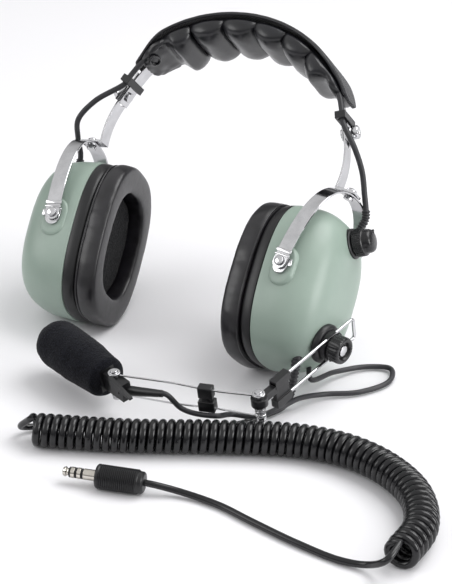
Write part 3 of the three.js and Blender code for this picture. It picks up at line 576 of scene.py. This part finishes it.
def ear_seal(side, body):
    """A soft ring with a rounded outer edge, small creases in its vinyl and piping along its back seam."""
    cup = CUPS[side]
    inner = [(0.66, 15.2), (0.645, 12), (0.642, 8), (0.642, 4), (0.648, 1.8), (0.66, 0.75)]
    front = [(0.685, 0.3), (0.76, 0.05), (0.86, 0.05), (0.935, 0.3), (0.962, 0.8), (0.982, 1.8)]
    outer = [(0.994, 3.2), (1.0, 5.4), (1.003, 8), (1.0, 10.6), (0.99, 12.8), (0.975, 14.3)]
    profile = inner + front + outer + [(0.955, 15.0), (0.93, 15.3), (0.8, 15.4)]
    count = 144
    rings = [oval_ring(cup, share, depth, SEAL_WIDTH, SEAL_HEIGHT, count) for share, depth in profile]
    points, faces = loft(rings, looped=True)
    out = []
    for index, point in enumerate(points):
        share, depth = profile[index // count]
        angle = 2 * math.pi * (index % count) / count
        crease = noise.noise(Vector((math.cos(angle) * 5, math.sin(angle) * 5, depth * 0.12)))
        fine = noise.noise(Vector((math.cos(angle) * 19, math.sin(angle) * 19, depth * 0.05 + 7)))
        push = 0.45 * crease + 0.22 * fine
        away = (point - cup.at(depth, 0, 0)).normalized()
        if share < 0.7:
            away = -away
        out.append(point + away * (push - 0.35) * MM)
    obj = made(side + "_seal_cushion", out, faces, "vinyl", body)
    smooth_more(obj, 1)
    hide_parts(side + "_ear_seal")
    piping = []
    for i in range(160):
        angle = 2 * math.pi * i / 160
        radius = 0.972 * oval_radius(angle, SEAL_WIDTH, SEAL_HEIGHT)
        piping.append(cup.at(14.4, radius * math.cos(angle), radius * math.sin(angle)))
    rings = tube_rings(piping + piping[:1], 0.7, 10)[:-1]
    points, faces = loft(rings, looped=True)
    made(side + "_seal_piping", points, faces, "vinyl", body)


def seal_flange(side, body):
    cup = CUPS[side]
    profile = [(0.52, 17.8), (0.6, 15.7), (0.91, 15.7), (0.94, 16.2), (0.965, 17.6), (0.975, 18.8)]
    profile += [(0.98, 21), (0.984, 24), (0.98, 24.4), (0.93, 24.4), (0.88, 20.7), (0.52, 20.7)]
    rings = [oval_ring(cup, share, depth, SEAL_WIDTH, SEAL_HEIGHT, 128) for share, depth in profile]
    points, faces = loft(rings, looped=True)
    obj = made(side + "_flange_ring", points, faces, "black_plastic", body)
    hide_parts(side + "_seal_flange")


def foam_liner(side, body):
    """A thin pad of acoustic foam with a soft, uneven face."""
    cup = CUPS[side]
    profile = [(0.61, 15.3), (0.618, 13), (0.612, 11.2), (0.59, 10.3)]
    profile += [(share, 10.2) for share in (0.5, 0.38, 0.24, 0.1)]
    rings = [oval_ring(cup, share, depth, SEAL_WIDTH, SEAL_HEIGHT, 96) for share, depth in profile]
    points, faces = loft(rings)
    out = []
    for p in points:
        push = noise.noise(Vector(p) / (7 * MM)) * 0.5 + noise.noise(Vector(p) / (2.5 * MM)) * 0.2
        out.append(Vector(p) + cup.x * (push + 0.3) * MM)
    obj = made(side + "_liner_foam", out, faces, "foam", body)
    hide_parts(side + "_foam_liner")


def stirrup(side, body):
    """A flat chromed strip bent over the cup, with rounded ends around the pivot screws."""
    place = SWIVELS[side]
    half = 0.75
    corner = 0.3
    half_width = 5.25
    rings = []
    steps = 96

    def outline(t):
        y = STIRRUP_SPAN * math.copysign(abs(math.cos(t)) ** (2 / STIRRUP_POWER), math.cos(t))
        return y, STIRRUP_HEIGHT * abs(math.sin(t)) ** (2 / STIRRUP_POWER)

    line = [(STIRRUP_SPAN, -5.0 + 0.8 * i, 1.0) for i in range(6)]
    line = [(y, z, math.sqrt(max(0.0, 1 - (z / half_width) ** 2)) if z < 0 else 1.0) for y, z, _ in line]
    body_line = []
    for i in range(steps + 1):
        y, z = outline(math.pi * i / steps)
        if z > 0.6:
            body_line.append((y, z, 1.0))
    line = line + body_line + [(-y, z, w) for y, z, w in reversed(line)]
    for i, (y, z, wide) in enumerate(line):
        before = line[max(i - 1, 0)]
        after = line[min(i + 1, len(line) - 1)]
        dy, dz = after[0] - before[0], after[1] - before[1]
        length = math.hypot(dy, dz)
        ny, nz = dz / length, -dy / length
        w = half_width * max(wide, 0.25)
        left = [(-w, -half + corner), (-w, half - corner), (-w + corner, half), (w - corner, half)]
        right = [(w, half - corner), (w, -half + corner), (w - corner, -half), (-w + corner, -half)]
        ring = [place.at(across, y + ny * out, z + nz * out) for across, out in left + right]
        rings.append(ring)
    points, faces = loft(rings)
    obj = made(side + "_stirrup_strip", points, [f[::-1] for f in faces], "chrome", body)
    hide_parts(side + "_stirrup")
    for name, sign in (("front", -1), ("rear", 1)):
        for part, low, high in (("band", 6.2, 8.6), ("lip", 3.6, 4.8)):
            reach = sorted((sign * (STIRRUP_SPAN - 1.15), sign * (STIRRUP_SPAN + 1.25)))
            points, faces = box_mesh(place, (-5.9, reach[0], low), (5.9, reach[1], high), 0.35)
            made(f"{side}_stirrup_{part}_{name}", points, faces, "chrome", body)


def pivot(side, body):
    """The rounded bracket under each stirrup end, with a tab on it."""
    cup = CUPS[side]
    for place, sign in (("front", -1), ("rear", 1)):
        rings = []
        for reach, grow in ((40.3, -0.3), (40.6, 0), (42.0, 0), (42.3, -0.3)):
            ring = []
            for i in range(32):
                angle = 2 * math.pi * i / 32
                up = PIVOT_HEIGHT + (2.6 if math.sin(angle) >= 0 else -2.4)
                radius = 5.4 + grow
                depth = PIVOT_DEPTH + radius * math.cos(angle)
                ring.append(cup.at(depth, sign * reach, up + radius * math.sin(angle)))
            rings.append(ring if sign > 0 else ring[::-1])
        points, faces = loft(rings)
        obj = made(f"{side}_bracket_{place}", points, faces, "chrome", body)
        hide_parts(f"{side}_pivot_bracket_{place}")
        ear = Frame(cup.at(PIVOT_DEPTH, 0, PIVOT_HEIGHT), cup.x, cup.y, cup.z)
        reach = sorted((sign * 40.6, sign * 42.2))
        points, faces = box_mesh(ear, (4.6, reach[0], -2.4), (8.2, reach[1], 2.4), 0.5)
        made(f"{side}_bracket_tab_{place}", points, faces, "chrome", body)


# ---- headband ----


def arch_point(angle, depth):
    """A point of the headband's half ellipse, some depth inside it."""
    x = math.cos(angle) / ARCH_HALF_WIDTH
    z = math.sin(angle) / ARCH_RISE
    inward = depth / math.hypot(x, z)
    across = ARCH_HALF_WIDTH * math.cos(angle) - inward * x
    return across, ARCH_BASE + ARCH_RISE * math.sin(angle) - inward * z


def on_arch(angle, depth, y):
    x, z = arch_point(angle, depth)
    return HEAD.at(x, y, z)


def smoothstep(value, low, high):
    t = min(max((value - low) / (high - low), 0), 1)
    return t * t * (3 - 2 * t)


def arch_lengths(start, steps):
    """Angles evenly spaced along the arch between its two ends, and the distance to each."""
    fine = 720
    angles = [start + (math.pi - 2 * start) * i / fine for i in range(fine + 1)]
    lengths = [0.0]
    for a, b in zip(angles, angles[1:]):
        (x0, z0), (x1, z1) = arch_point(a, 0), arch_point(b, 0)
        lengths.append(lengths[-1] + math.hypot(x1 - x0, z1 - z0))
    out = []
    k = 0
    for i in range(steps + 1):
        target = lengths[-1] * i / steps
        while k < fine - 1 and lengths[k + 1] < target:
            k += 1
        t = (target - lengths[k]) / (lengths[k + 1] - lengths[k])
        out.append((angles[k] + (angles[k + 1] - angles[k]) * t, target))
    return out, lengths[-1]


def pad_section(along, total):
    """Inner depth, half width and fullness of the pad: stuffed lobes between grooves, and thin end tabs."""
    near, far = 12.0, 22.0
    inside = (along - near) / (total - near - far)
    if inside <= 0 or inside >= 1:
        edge = along / near if inside <= 0 else (total - along) / far
        round_end = math.sqrt(max(0.0, 1 - (1 - edge) ** 2.4))
        return 8.6 + 2.4 * round_end, 5.0 + 15.0 * round_end, 0.0
    lobe = abs(math.sin(math.pi * inside * LOBES)) ** 0.5
    end = smoothstep(min(inside, 1 - inside), 0.0, 0.07)
    return 11.0 + (1.6 + 8.6 * lobe) * end, 19.4 + (0.4 + 4.2 * lobe) * max(end, 0.2), lobe


def headband_pad():
    steps = 300
    angles, total = arch_lengths(PAD_START, steps)
    rings = []
    for angle, along in angles:
        inner, half, lobe = pad_section(along, total)
        ring = []
        sides = 40
        outer = 3.4
        thick = (inner - outer) / 2
        for k in range(sides):
            turn = 2 * math.pi * k / sides
            y = half * math.copysign(abs(math.cos(turn)) ** 0.55, math.cos(turn))
            power = 0.75 if math.sin(turn) > 0 else 0.5
            d = outer + thick + thick * math.copysign(abs(math.sin(turn)) ** power, math.sin(turn))
            wave = noise.noise(Vector((along * 0.11, y * 0.11, d * 0.1)))
            gather = noise.noise(Vector((along * 0.1, y * 0.42, 4))) * (1 - lobe)
            if math.sin(turn) > -0.3:
                d += 0.5 * wave + 1.1 * gather - 0.3
            ring.append(on_arch(angle, d, y))
        rings.append(ring)
    points, faces = loft(rings)
    obj = made("headband_lobes", points, faces, "pad_vinyl", "headband")
    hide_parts("headband_pad")


def end_tabs():
    """A raised blank oval on the pad's tab at the wearer's right."""
    line = []
    steps = 400
    angles, total = arch_lengths(PAD_START, steps)
    for i in range(49):
        turn = 2 * math.pi * i / 48
        along = total - 9.5 + 4.2 * math.cos(turn)
        angle = angles[int(steps * along / total)][0]
        line.append(on_arch(angle, 11.1, -9.5 + 6.0 * math.sin(turn)))
    tube("pad_emboss", line, 0.75, "pad_vinyl", "headband", 10)


def cover_half(edge):
    return 9.5 + 13.3 * smoothstep(edge, -4, 34)


def headband_cover():
    """Woven strip, narrower at its ends, with a rolled edge and a line of stitches along each side."""
    steps = 240
    angles, total = arch_lengths(COVER_START, steps)
    sides = 48
    rings = []
    uvs = []
    for angle, along in angles:
        edge = min(along, total - along)
        half = cover_half(edge)
        half -= 3.5 * (1 - smoothstep(edge, 0, 3)) ** 2
        ring = []
        for k in range(sides):
            turn = 2 * math.pi * k / sides
            y = half * math.copysign(abs(math.cos(turn)) ** 0.3, math.cos(turn))
            d = 1.5 - 1.25 * math.copysign(abs(math.sin(turn)) ** 0.45, math.sin(turn))
            d += 0.12 * noise.noise(Vector((along * 0.15, y * 0.15, 3)))
            ring.append(on_arch(angle, d, y))
            uvs.append((along, y))
        rings.append(ring)
    points, faces = loft(rings)
    obj = made("headband_webbing", points, faces, "webbing", "headband", uvs)
    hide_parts("headband_cover")
    for name, sign in (("front", -1), ("rear", 1)):
        line = []
        for angle, along in angles:
            edge = min(along, total - along)
            half = cover_half(edge)
            if 4 < edge:
                line.append(on_arch(angle, 2.2, sign * (half - 0.2)))
        tube(f"headband_edge_{name}", line, 1.15, "pad_vinyl", "headband", 10)
        points, faces = [], []
        for i in range(8, len(line) - 8, 2):
            a = line[i].lerp(line[i + 1], 0.1) + HEAD.y * sign * 0.9 * MM
            b = line[i].lerp(line[i + 1], 0.9) + HEAD.y * sign * 0.9 * MM
            some, shape = loft(tube_rings([a, a.lerp(b, 0.5) + HEAD.y * sign * 0.2 * MM, b], 0.28, 6))
            faces += [tuple(v + len(points) for v in face) for face in shape]
            points += some
        made(f"headband_stitches_{name}", points, faces, "webbing", "headband")


# ---- knobs, plug, boot and microphone ----


def volume_knob():
    """Knurled skirt and a domed cap."""
    skirt = [(3.4, 2), (8.9, 2), (9.4, 2.4), (9.6, 3.0), (9.6, 8.0), (9.3, 8.5), (8.5, 8.9), (8.2, 9.3)]
    cap = [(8.15, 11.5), (7.9, 12.8), (7.2, 13.9), (6.0, 14.6), (4.0, 15.0), (1.5, 15.15), (0.2, 15.2)]
    profile = skirt + cap
    points, faces = turned(VOLUME, profile, 144, (36, 0.5, 2.9, 8.1))
    obj = made("volume_cap", points, faces, "knob_plastic", "volume_knob")
    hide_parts("volume_knob")
    points, faces = box_mesh(VOLUME, (12.2, -0.5, 4.4), (15.0, 0.5, 7.8), 0.2)
    made("volume_pointer", points, faces, "knob_plastic", "volume_knob")
    washer = [(0.5, -3), (10.4, -3), (10.6, -2), (10.4, 0.6), (9.4, 1.4), (3.6, 1.6)]
    points, faces = turned(VOLUME, washer, 64)
    made("volume_washer", points, faces, "black_plastic", "left_cup")


def boom_knob():
    """Fluted knob with a recess for the clamp screw's head."""
    profile = [(2.4, 1.9), (8.6, 1.9), (9.1, 2.3), (9.3, 2.9), (9.3, 9.4), (9.0, 10.4), (8.3, 11.0)]
    profile += [(6.8, 11.1), (6.2, 10.7), (5.8, 9.6), (5.6, 8.7), (2.4, 8.6)]
    points, faces = turned(BOOM, profile, 120, (20, 0.45, 2.8, 9.5))
    obj = made("boom_knob_fluted", points, faces, "knob_plastic", "boom_knob")
    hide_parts("boom_knob")


def boom_base():
    profile = [(4.0, -7.2), (13.3, -7.2), (13.5, -6.5), (13.5, -4.8)]
    profile += [(13.1, -3.8), (12.3, -2.8), (11.8, -2.62), (2.4, -2.6)]
    points, faces = turned(BOOM, profile, 72)
    obj = made("boom_base", points, faces, "black_plastic", "left_cup")
    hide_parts("boom_mount")


def boom_wire():
    """One wire bent into two parallel rods with a squared end behind the turret."""
    line = [BOOM.at(0, -57 + i * 4, ROD_OFFSET) for i in range(20)]
    corner = 2.5
    end = 24
    for i in range(9):
        along = corner * math.sin(math.pi / 2 * i / 8)
        up = corner * math.cos(math.pi / 2 * i / 8)
        line.append(BOOM.at(0, end - corner + along, ROD_OFFSET - corner + up))
    for i in range(9):
        along = corner * math.cos(math.pi / 2 * i / 8)
        down = corner * math.sin(math.pi / 2 * i / 8)
        line.append(BOOM.at(0, end - corner + along, corner - ROD_OFFSET - down))
    line += [BOOM.at(0, 19 - i * 4, -ROD_OFFSET) for i in range(20)]
    obj = tube("boom_loop", line, 1.15, "chrome", "rear_boom", 16)
    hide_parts("boom_wire")


def windscreen():
    """A moulded foam cover: rounded ends and a slightly lumpy, porous skin."""
    near, far = 8.6, 76.5
    profile = []
    steps = 60
    for i in range(steps + 1):
        t = i / steps
        along = near + (far - near) * t
        radius = 14.4 + 2.3 * smoothstep(t, 0.0, 0.5)
        if t > 0.76:
            radius *= max(0.0, 1 - ((t - 0.76) / 0.24) ** 2.6) ** (1 / 2.2)
        if t < 0.05:
            radius *= 0.78 + 0.22 * math.sqrt(1 - (1 - t / 0.05) ** 2)
        profile.append((max(radius, 0.3), along))
    axis = Frame(MIC.origin, -MIC.y, MIC.z.cross(-MIC.y), MIC.z)
    points, faces = turned(axis, profile, 96)
    out = []
    for p in points:
        centre = axis.origin + axis.x * (Vector(p) - axis.origin).dot(axis.x)
        away = (Vector(p) - centre)
        if away.length > 1e-6:
            away.normalize()
        lump = noise.noise(Vector(p) / (9 * MM)) * 0.45 + noise.noise(Vector(p) / (1.6 * MM)) * 0.22
        out.append(Vector(p) + away * (lump - 0.3) * MM)
    obj = made("windscreen", out, faces, "windscreen_foam", "microphone")
    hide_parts("mic_windscreen")


def boom_clip():
    """A moulded clip: one block on each wire, joined by a thin web."""
    upper = ((-3.0, -41, 2.6), (3.2, -31, 11.2))
    lower = ((-3.4, -41.6, -8), (3.6, -30.4, 0.2))
    web = ((1.6, -39, -1), (3.0, -33, 4))
    for i, (low, high) in enumerate((upper, lower, web)):
        points, faces = box_mesh(FRONT, low, high, 0.7)
        obj = made(f"boom_clip_{i + 1}", points, faces, "black_plastic", "front_boom")
        if i == 0:
            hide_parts("boom_cable_clip")


def plug_handle():
    """Moulded grip with fine ribs around it."""
    start = TABLE.at(84, -189, 8)
    shoulder = Vector(mounts["plug_shoulder"]["axis"]).normalized()
    side = Vector((0, 0, 1)).cross(shoulder)
    axis = Frame(start, shoulder, side, (0, 0, 1))
    profile = [(2.4, 0.2), (5.4, 0.1), (6.2, 0.4), (6.9, 1.2), (7.0, 3.4), (7.4, 3.8)]
    for i in range(20):
        base = 4.2 + i * 1.22
        profile += [(7.35, base), (7.85, base + 0.3), (7.85, base + 0.75), (7.35, base + 1.05)]
    profile += [(7.7, 28.9), (7.9, 29.3), (7.8, 30.2), (7.2, 30.9), (6.9, 31), (3.9, 31), (3.9, 28)]
    points, faces = turned(axis, profile, 64)
    obj = made("plug_grip", points, faces, "black_plastic", "left_cup")
    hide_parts("plug_handle")


def ribbed(base, pitch, depth, until):
    """Radius of a strain relief with rings on it."""

    def radius(distance):
        if distance > until:
            return base
        return base + depth * (1 if (distance / pitch) % 1 < 0.55 else 0.1)

    return radius


def boot_point():
    return CUPS["left"].at(on_dome(*BOOT_ENTRY), *BOOT_ENTRY)


def cord_boot():
    """Tapered, ribbed strain relief where the cord leaves the left cup."""
    top = boot_point() + Vector((-0.6, 2.5, 3.8)) * MM
    end = boot_point() + Vector((3, -12.4, -18.6)) * MM
    count = 70
    line = [top.lerp(end, i / count) for i in range(count + 1)]
    length = (end - top).length / MM

    def radius(distance):
        base = 3.5 - 0.9 * distance / length
        return base if (distance / 2.4) % 1 < 0.6 or distance < 4 else base - 0.6

    obj = tube("boot_ribbed", line, radius, "rubber", "left_cup", 20)
    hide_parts("cord_boot")


# ---- cables ----


def cut_up(rings, marks):
    """Splits rings into consecutive runs that share their end rings."""
    return [rings[a : b + 1] for a, b in zip(marks, marks[1:])]


def cable_pieces(name, runs, bodies, node):
    """One piece for each run. It rides on its body; a run given two bodies stays where it is and rides on neither.
    """
    for i, (rings, where) in enumerate(zip(runs, bodies)):
        points, faces = loft(rings)
        obj = made(f"{name}_{i + 1}", points, faces, "rubber")
        if isinstance(where, tuple):
            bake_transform(obj)
        else:
            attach(obj, where)
        if i == 0:
            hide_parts(node)


def nearest(line, point):
    return min(range(len(line)), key=lambda i: (line[i] - point).length)


def side_points(side, front, points):
    return [SIDES[side].at(x, front * forward, z) for x, forward, z in points]


def crossover_cable():
    """From the right cup, past its stirrup, along the headband and down to the left cup."""
    entry = (on_dome(*CROSSOVER_ENTRY), *CROSSOVER_ENTRY)

    def in_cup(side, front, out):
        return CUPS[side].at(entry[0] + out * 0.25, -front * entry[1], entry[2] + out)

    def in_clip(side, front, z):
        return LEGS[side].at(-lane_depth, front * LANE_SIDE, z)

    lane_depth = 5.6
    lane = []
    for i in range(24, -1, -1):
        lane.append(on_arch(LANE_START + (math.pi - 2 * LANE_START) * i / 24, lane_depth, -LANE_SIDE))
    right_free = [in_cup("right", 1, -4), in_cup("right", 1, 7)]
    right_free += side_points("right", 1, [(113.5, -9, 64), (114, 2, 74), (113, 11, 84), (103, 14, 99)])
    left_free = side_points("left", -1, [(99.5, 6, 99), (105.8, -1, 87), (108.6, -9, 75)])
    left_free += [in_cup("left", -1, 14), in_cup("left", -1, 7), in_cup("left", -1, -4)]
    clip_right = in_clip("right", 1, -5)
    clip_left = in_clip("left", -1, -5)
    over_head = [clip_right, in_clip("right", 1, 0.6)] + lane + [in_clip("left", -1, 0.6), clip_left]
    line = spline(right_free + over_head + left_free)
    a = nearest(line, in_cup("right", 1, 7))
    b = nearest(line, clip_right)
    c = nearest(line, clip_left)
    d = nearest(line, in_cup("left", -1, 7))
    rings = tube_rings(line, CROSSOVER_RADIUS)
    marks = [0, a, a + (b - a) // 3, a + 2 * (b - a) // 3, b, c]
    marks += [c + (d - c) // 3, c + 2 * (d - c) // 3, d, len(line) - 1]
    chain = ["right_cup", "right_stirrup", "right_strap", "headband"]
    chain += ["left_strap", "left_stirrup", "left_cup"]
    spans = list(zip(chain, chain[1:]))
    bodies = ["right_cup"] + spans[:3] + ["headband"] + spans[3:] + ["left_cup"]
    cable_pieces("crossover", cut_up(rings, marks), bodies, "crossover_cable")
    for side, run in (("right", line[: a + 8]), ("left", list(reversed(line[d - 8 :])))):
        relief = ribbed(2.15, 1.9, 0.75, 60)
        tube(f"{side}_cable_relief", spline(run, 0.35), relief, "rubber", f"{side}_cup", 18)


def microphone_cable():
    """From the left cup, in a loop on the table, through the boom clip to the microphone bracket."""
    across, up = MIC_CABLE_ENTRY
    depth = on_dome(across, up)
    cup = CUPS["left"]
    loop = [(90, -92, 9), (104, -85, 8), (114, -70, 10), (118, -52, 9), (126, -31, 4)]
    loop += [(144, -15, 3), (155, 8, 3), (148, 24, 3), (133, 18, 3), (120, -4, 6)]
    clip = [FRONT.at(5.6, -44, -8), FRONT.at(5.6, -29, -8)]
    line = [MIC.at(-9.2, 31, 3.5), MIC.at(-12.4, 38.2, 5.4), FRONT.at(6.5, -52, -4.5)] + clip + on_table(loop)
    line = spline(line + [cup.at(depth + 3, across, up - 7), cup.at(depth - 1.6, across, up + 4)])
    rings = tube_rings(line, MIC_CABLE_RADIUS)
    clip_far = nearest(line, clip[0])
    clip_near = nearest(line, clip[1])
    bend = nearest(line, TABLE.at(*loop[1]))
    back = nearest(line, TABLE.at(*loop[3]))
    marks = [0, clip_far, clip_near, bend, back, nearest(line, TABLE.at(*loop[6])), len(line) - 1]
    bodies = [("microphone", "front_boom"), "front_boom", ("front_boom", "rear_boom")]
    bodies += [("rear_boom", "boom_turret"), ("boom_turret", "left_cup"), "left_cup"]
    cable_pieces("microphone_cable", cut_up(rings, marks), bodies, "mic_cable")


def coiled_cord():
    """Straight lead, tight coil and straight tail of one moulded cord."""
    axis_points = [(-9, -177), (45, -153), (103, -121), (145, -101), (177, -96)]
    axis_points += [(207, -102), (236, -120), (254, -150), (256, -182)]
    axis = spline(on_table([(x, y, COIL_HEIGHT) for x, y in axis_points]), 0.25)
    lengths = [0.0]
    for a, b in zip(axis, axis[1:]):
        lengths.append(lengths[-1] + (b - a).length)
    steps = COIL_TURNS * 20
    coil = []
    k = 0
    for i in range(steps + 1):
        target = lengths[-1] * i / steps
        while k < len(axis) - 2 and lengths[k + 1] < target:
            k += 1
        t = (target - lengths[k]) / (lengths[k + 1] - lengths[k])
        centre = axis[k].lerp(axis[k + 1], t)
        along = (axis[min(k + 6, len(axis) - 1)] - axis[max(k - 6, 0)]).normalized()
        side = Vector((-along.y, along.x, 0))
        angle = 2 * math.pi * COIL_TURNS * i / steps
        upward = Vector((0, 0, COIL_RADIUS * MM * math.cos(angle)))
        coil.append(centre + upward + side * COIL_RADIUS * MM * math.sin(angle))
    boot = boot_point()
    lead = [boot + Vector((2.4, -10.5, -15.7)) * MM, boot + Vector((3, -13, -19.5)) * MM]
    lead += on_table([(110, -58, 3.8), (103, -76, 3), (91, -97, 2.7), (60, -120, 2.7)])
    lead += on_table([(12, -146, 2.7), (-14, -160, 3), (-21, -172, 7)])
    lead = spline(lead + [coil[0]], 1.5)
    tail = [coil[-1]]
    tail += on_table([(254, -196, 15), (240, -193, 5), (222, -194, 2.7), (190, -191, 2.7)])
    tail += on_table([(157, -185, 2.7), (132, -180, 2.7), (105, -181, 4), (86.5, -188.3, 8), (80, -190.1, 8)])
    line = lead[:-1] + coil + spline(tail, 1.5)[1:]
    last = len(lead) + len(coil)

    rings = tube_rings(line, CORD_RADIUS, 12)
    for i, ring in enumerate(rings):
        if len(lead) + 12 < i < last - 12:
            centre = sum(ring, Vector()) / len(ring)
            rings[i] = [centre + (p - centre) * COIL_FATTER for p in ring]
    points, faces = loft(rings)
    obj = made("cord", points, faces, "rubber", "left_cup")
    obj.data.materials[0] = MATERIALS["coil_rubber"]
    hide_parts("coiled_cord")


# ---- the CAD pieces that are shown as they are ----


def finish_cad():
    """Rounded edges and the right material on every CAD piece that stays visible."""
    for name, node in frame["nodes"].items():
        node.data.materials.clear()
        node.data.materials.append(MATERIALS[SLOT_OF[name]])
        with bpy.context.temp_override(object=node, active_object=node, selected_editable_objects=[node]):
            bpy.ops.mesh.customdata_custom_splitnormals_clear()
        node.data.shade_smooth()
        weld = node.modifiers.new("weld", "WELD")
        weld.merge_threshold = 0.00002
        edges = node.modifiers.new("edges", "BEVEL")
        edges.width = 0.00028
        edges.segments = 2
        edges.limit_method = "ANGLE"
        edges.angle_limit = math.radians(34)
        edges.harden_normals = True


for side in ("left", "right"):
    cup_body = side + "_cup"
    dome(side, cup_body)
    ear_seal(side, cup_body)
    seal_flange(side, cup_body)
    foam_liner(side, cup_body)
    pivot(side, cup_body)
    stirrup(side, side + "_stirrup")
headband_pad()
end_tabs()
headband_cover()
volume_knob()
boom_knob()
boom_base()
boom_wire()
windscreen()
plug_handle()
boom_clip()
cord_boot()
crossover_cable()
microphone_cable()
coiled_cord()
finish_cad()


# ---- studio ----


def flat_material(name, colour, rough):
    material, tree, shader = tree_of(name)
    shader.inputs["Base Color"].default_value = (*colour, 1)
    shader.inputs["Roughness"].default_value = rough
    return material


def area_light(name, position, target, width, height, energy):
    light = bpy.data.lights.new(name, "AREA")
    light.shape = "RECTANGLE"
    light.size = width
    light.size_y = height
    light.energy = energy
    obj = bpy.data.objects.new(name, light)
    bpy.context.scene.collection.objects.link(obj)
    obj.location = position
    obj.rotation_euler = (Vector(target) - Vector(position)).to_track_quat("-Z", "Y").to_euler()
    return obj


def studio():
    mesh = bpy.data.meshes.new("floor")
    mesh.from_pydata([(-6, -6, 0), (6, -6, 0), (6, 6, 0), (-6, 6, 0)], [], [(0, 1, 2, 3)])
    floor = bpy.data.objects.new("floor", mesh)
    bpy.context.scene.collection.objects.link(floor)
    floor.data.materials.append(flat_material("floor_paper", (0.845, 0.84, 0.86), 0.6))
    world = bpy.data.worlds.new("studio")
    bpy.context.scene.world = world
    world.use_nodes = True
    tree = world.node_tree
    split = tree.nodes.new("ShaderNodeSeparateXYZ")
    tree.links.new(tree.nodes.new("ShaderNodeTexCoord").outputs["Generated"], split.inputs["Vector"])
    sky = ramp(tree, split.outputs["Z"], (0.16, 0.16, 0.17), (1.0, 1.0, 1.0), 0.02, 0.55)
    tree.links.new(sky, tree.nodes["Background"].inputs["Color"])
    tree.nodes["Background"].inputs["Strength"].default_value = 0.75
    aim = TABLE.at(30, 0, 80)
    area_light("key", TABLE.at(500, 500, 1200), aim, 1.0, 1.0, 12)
    area_light("fill", TABLE.at(-1100, -900, 900), aim, 1.0, 0.8, 6)
    area_light("rim", TABLE.at(1300, 100, 500), aim, 0.6, 0.6, 7)


def camera():
    azimuth = math.radians(30)
    elevation = math.radians(28)
    roll = math.radians(0.4)
    level = Vector((math.sin(azimuth), -math.cos(azimuth), 0))
    forward = -(level * math.cos(elevation) + Vector((0, 0, math.sin(elevation))))
    right = Vector((math.cos(azimuth), math.sin(azimuth), 0))
    up = right.cross(forward)
    across = right * math.cos(roll) + up * math.sin(roll)
    upwards = up * math.cos(roll) - right * math.sin(roll)
    data = bpy.data.cameras.new("camera")
    data.lens = 134.2
    data.sensor_width = 36
    obj = bpy.data.objects.new("camera", data)
    bpy.context.scene.collection.objects.link(obj)
    place = TABLE.at(32, 0, 41.5) - forward * 1.5
    turn = Matrix((across, upwards, -forward)).transposed().to_4x4()
    obj.matrix_world = Matrix.Translation(place) @ turn
    bpy.context.scene.camera = obj


studio()
camera()
bpy.context.scene.view_settings.view_transform = "Standard"
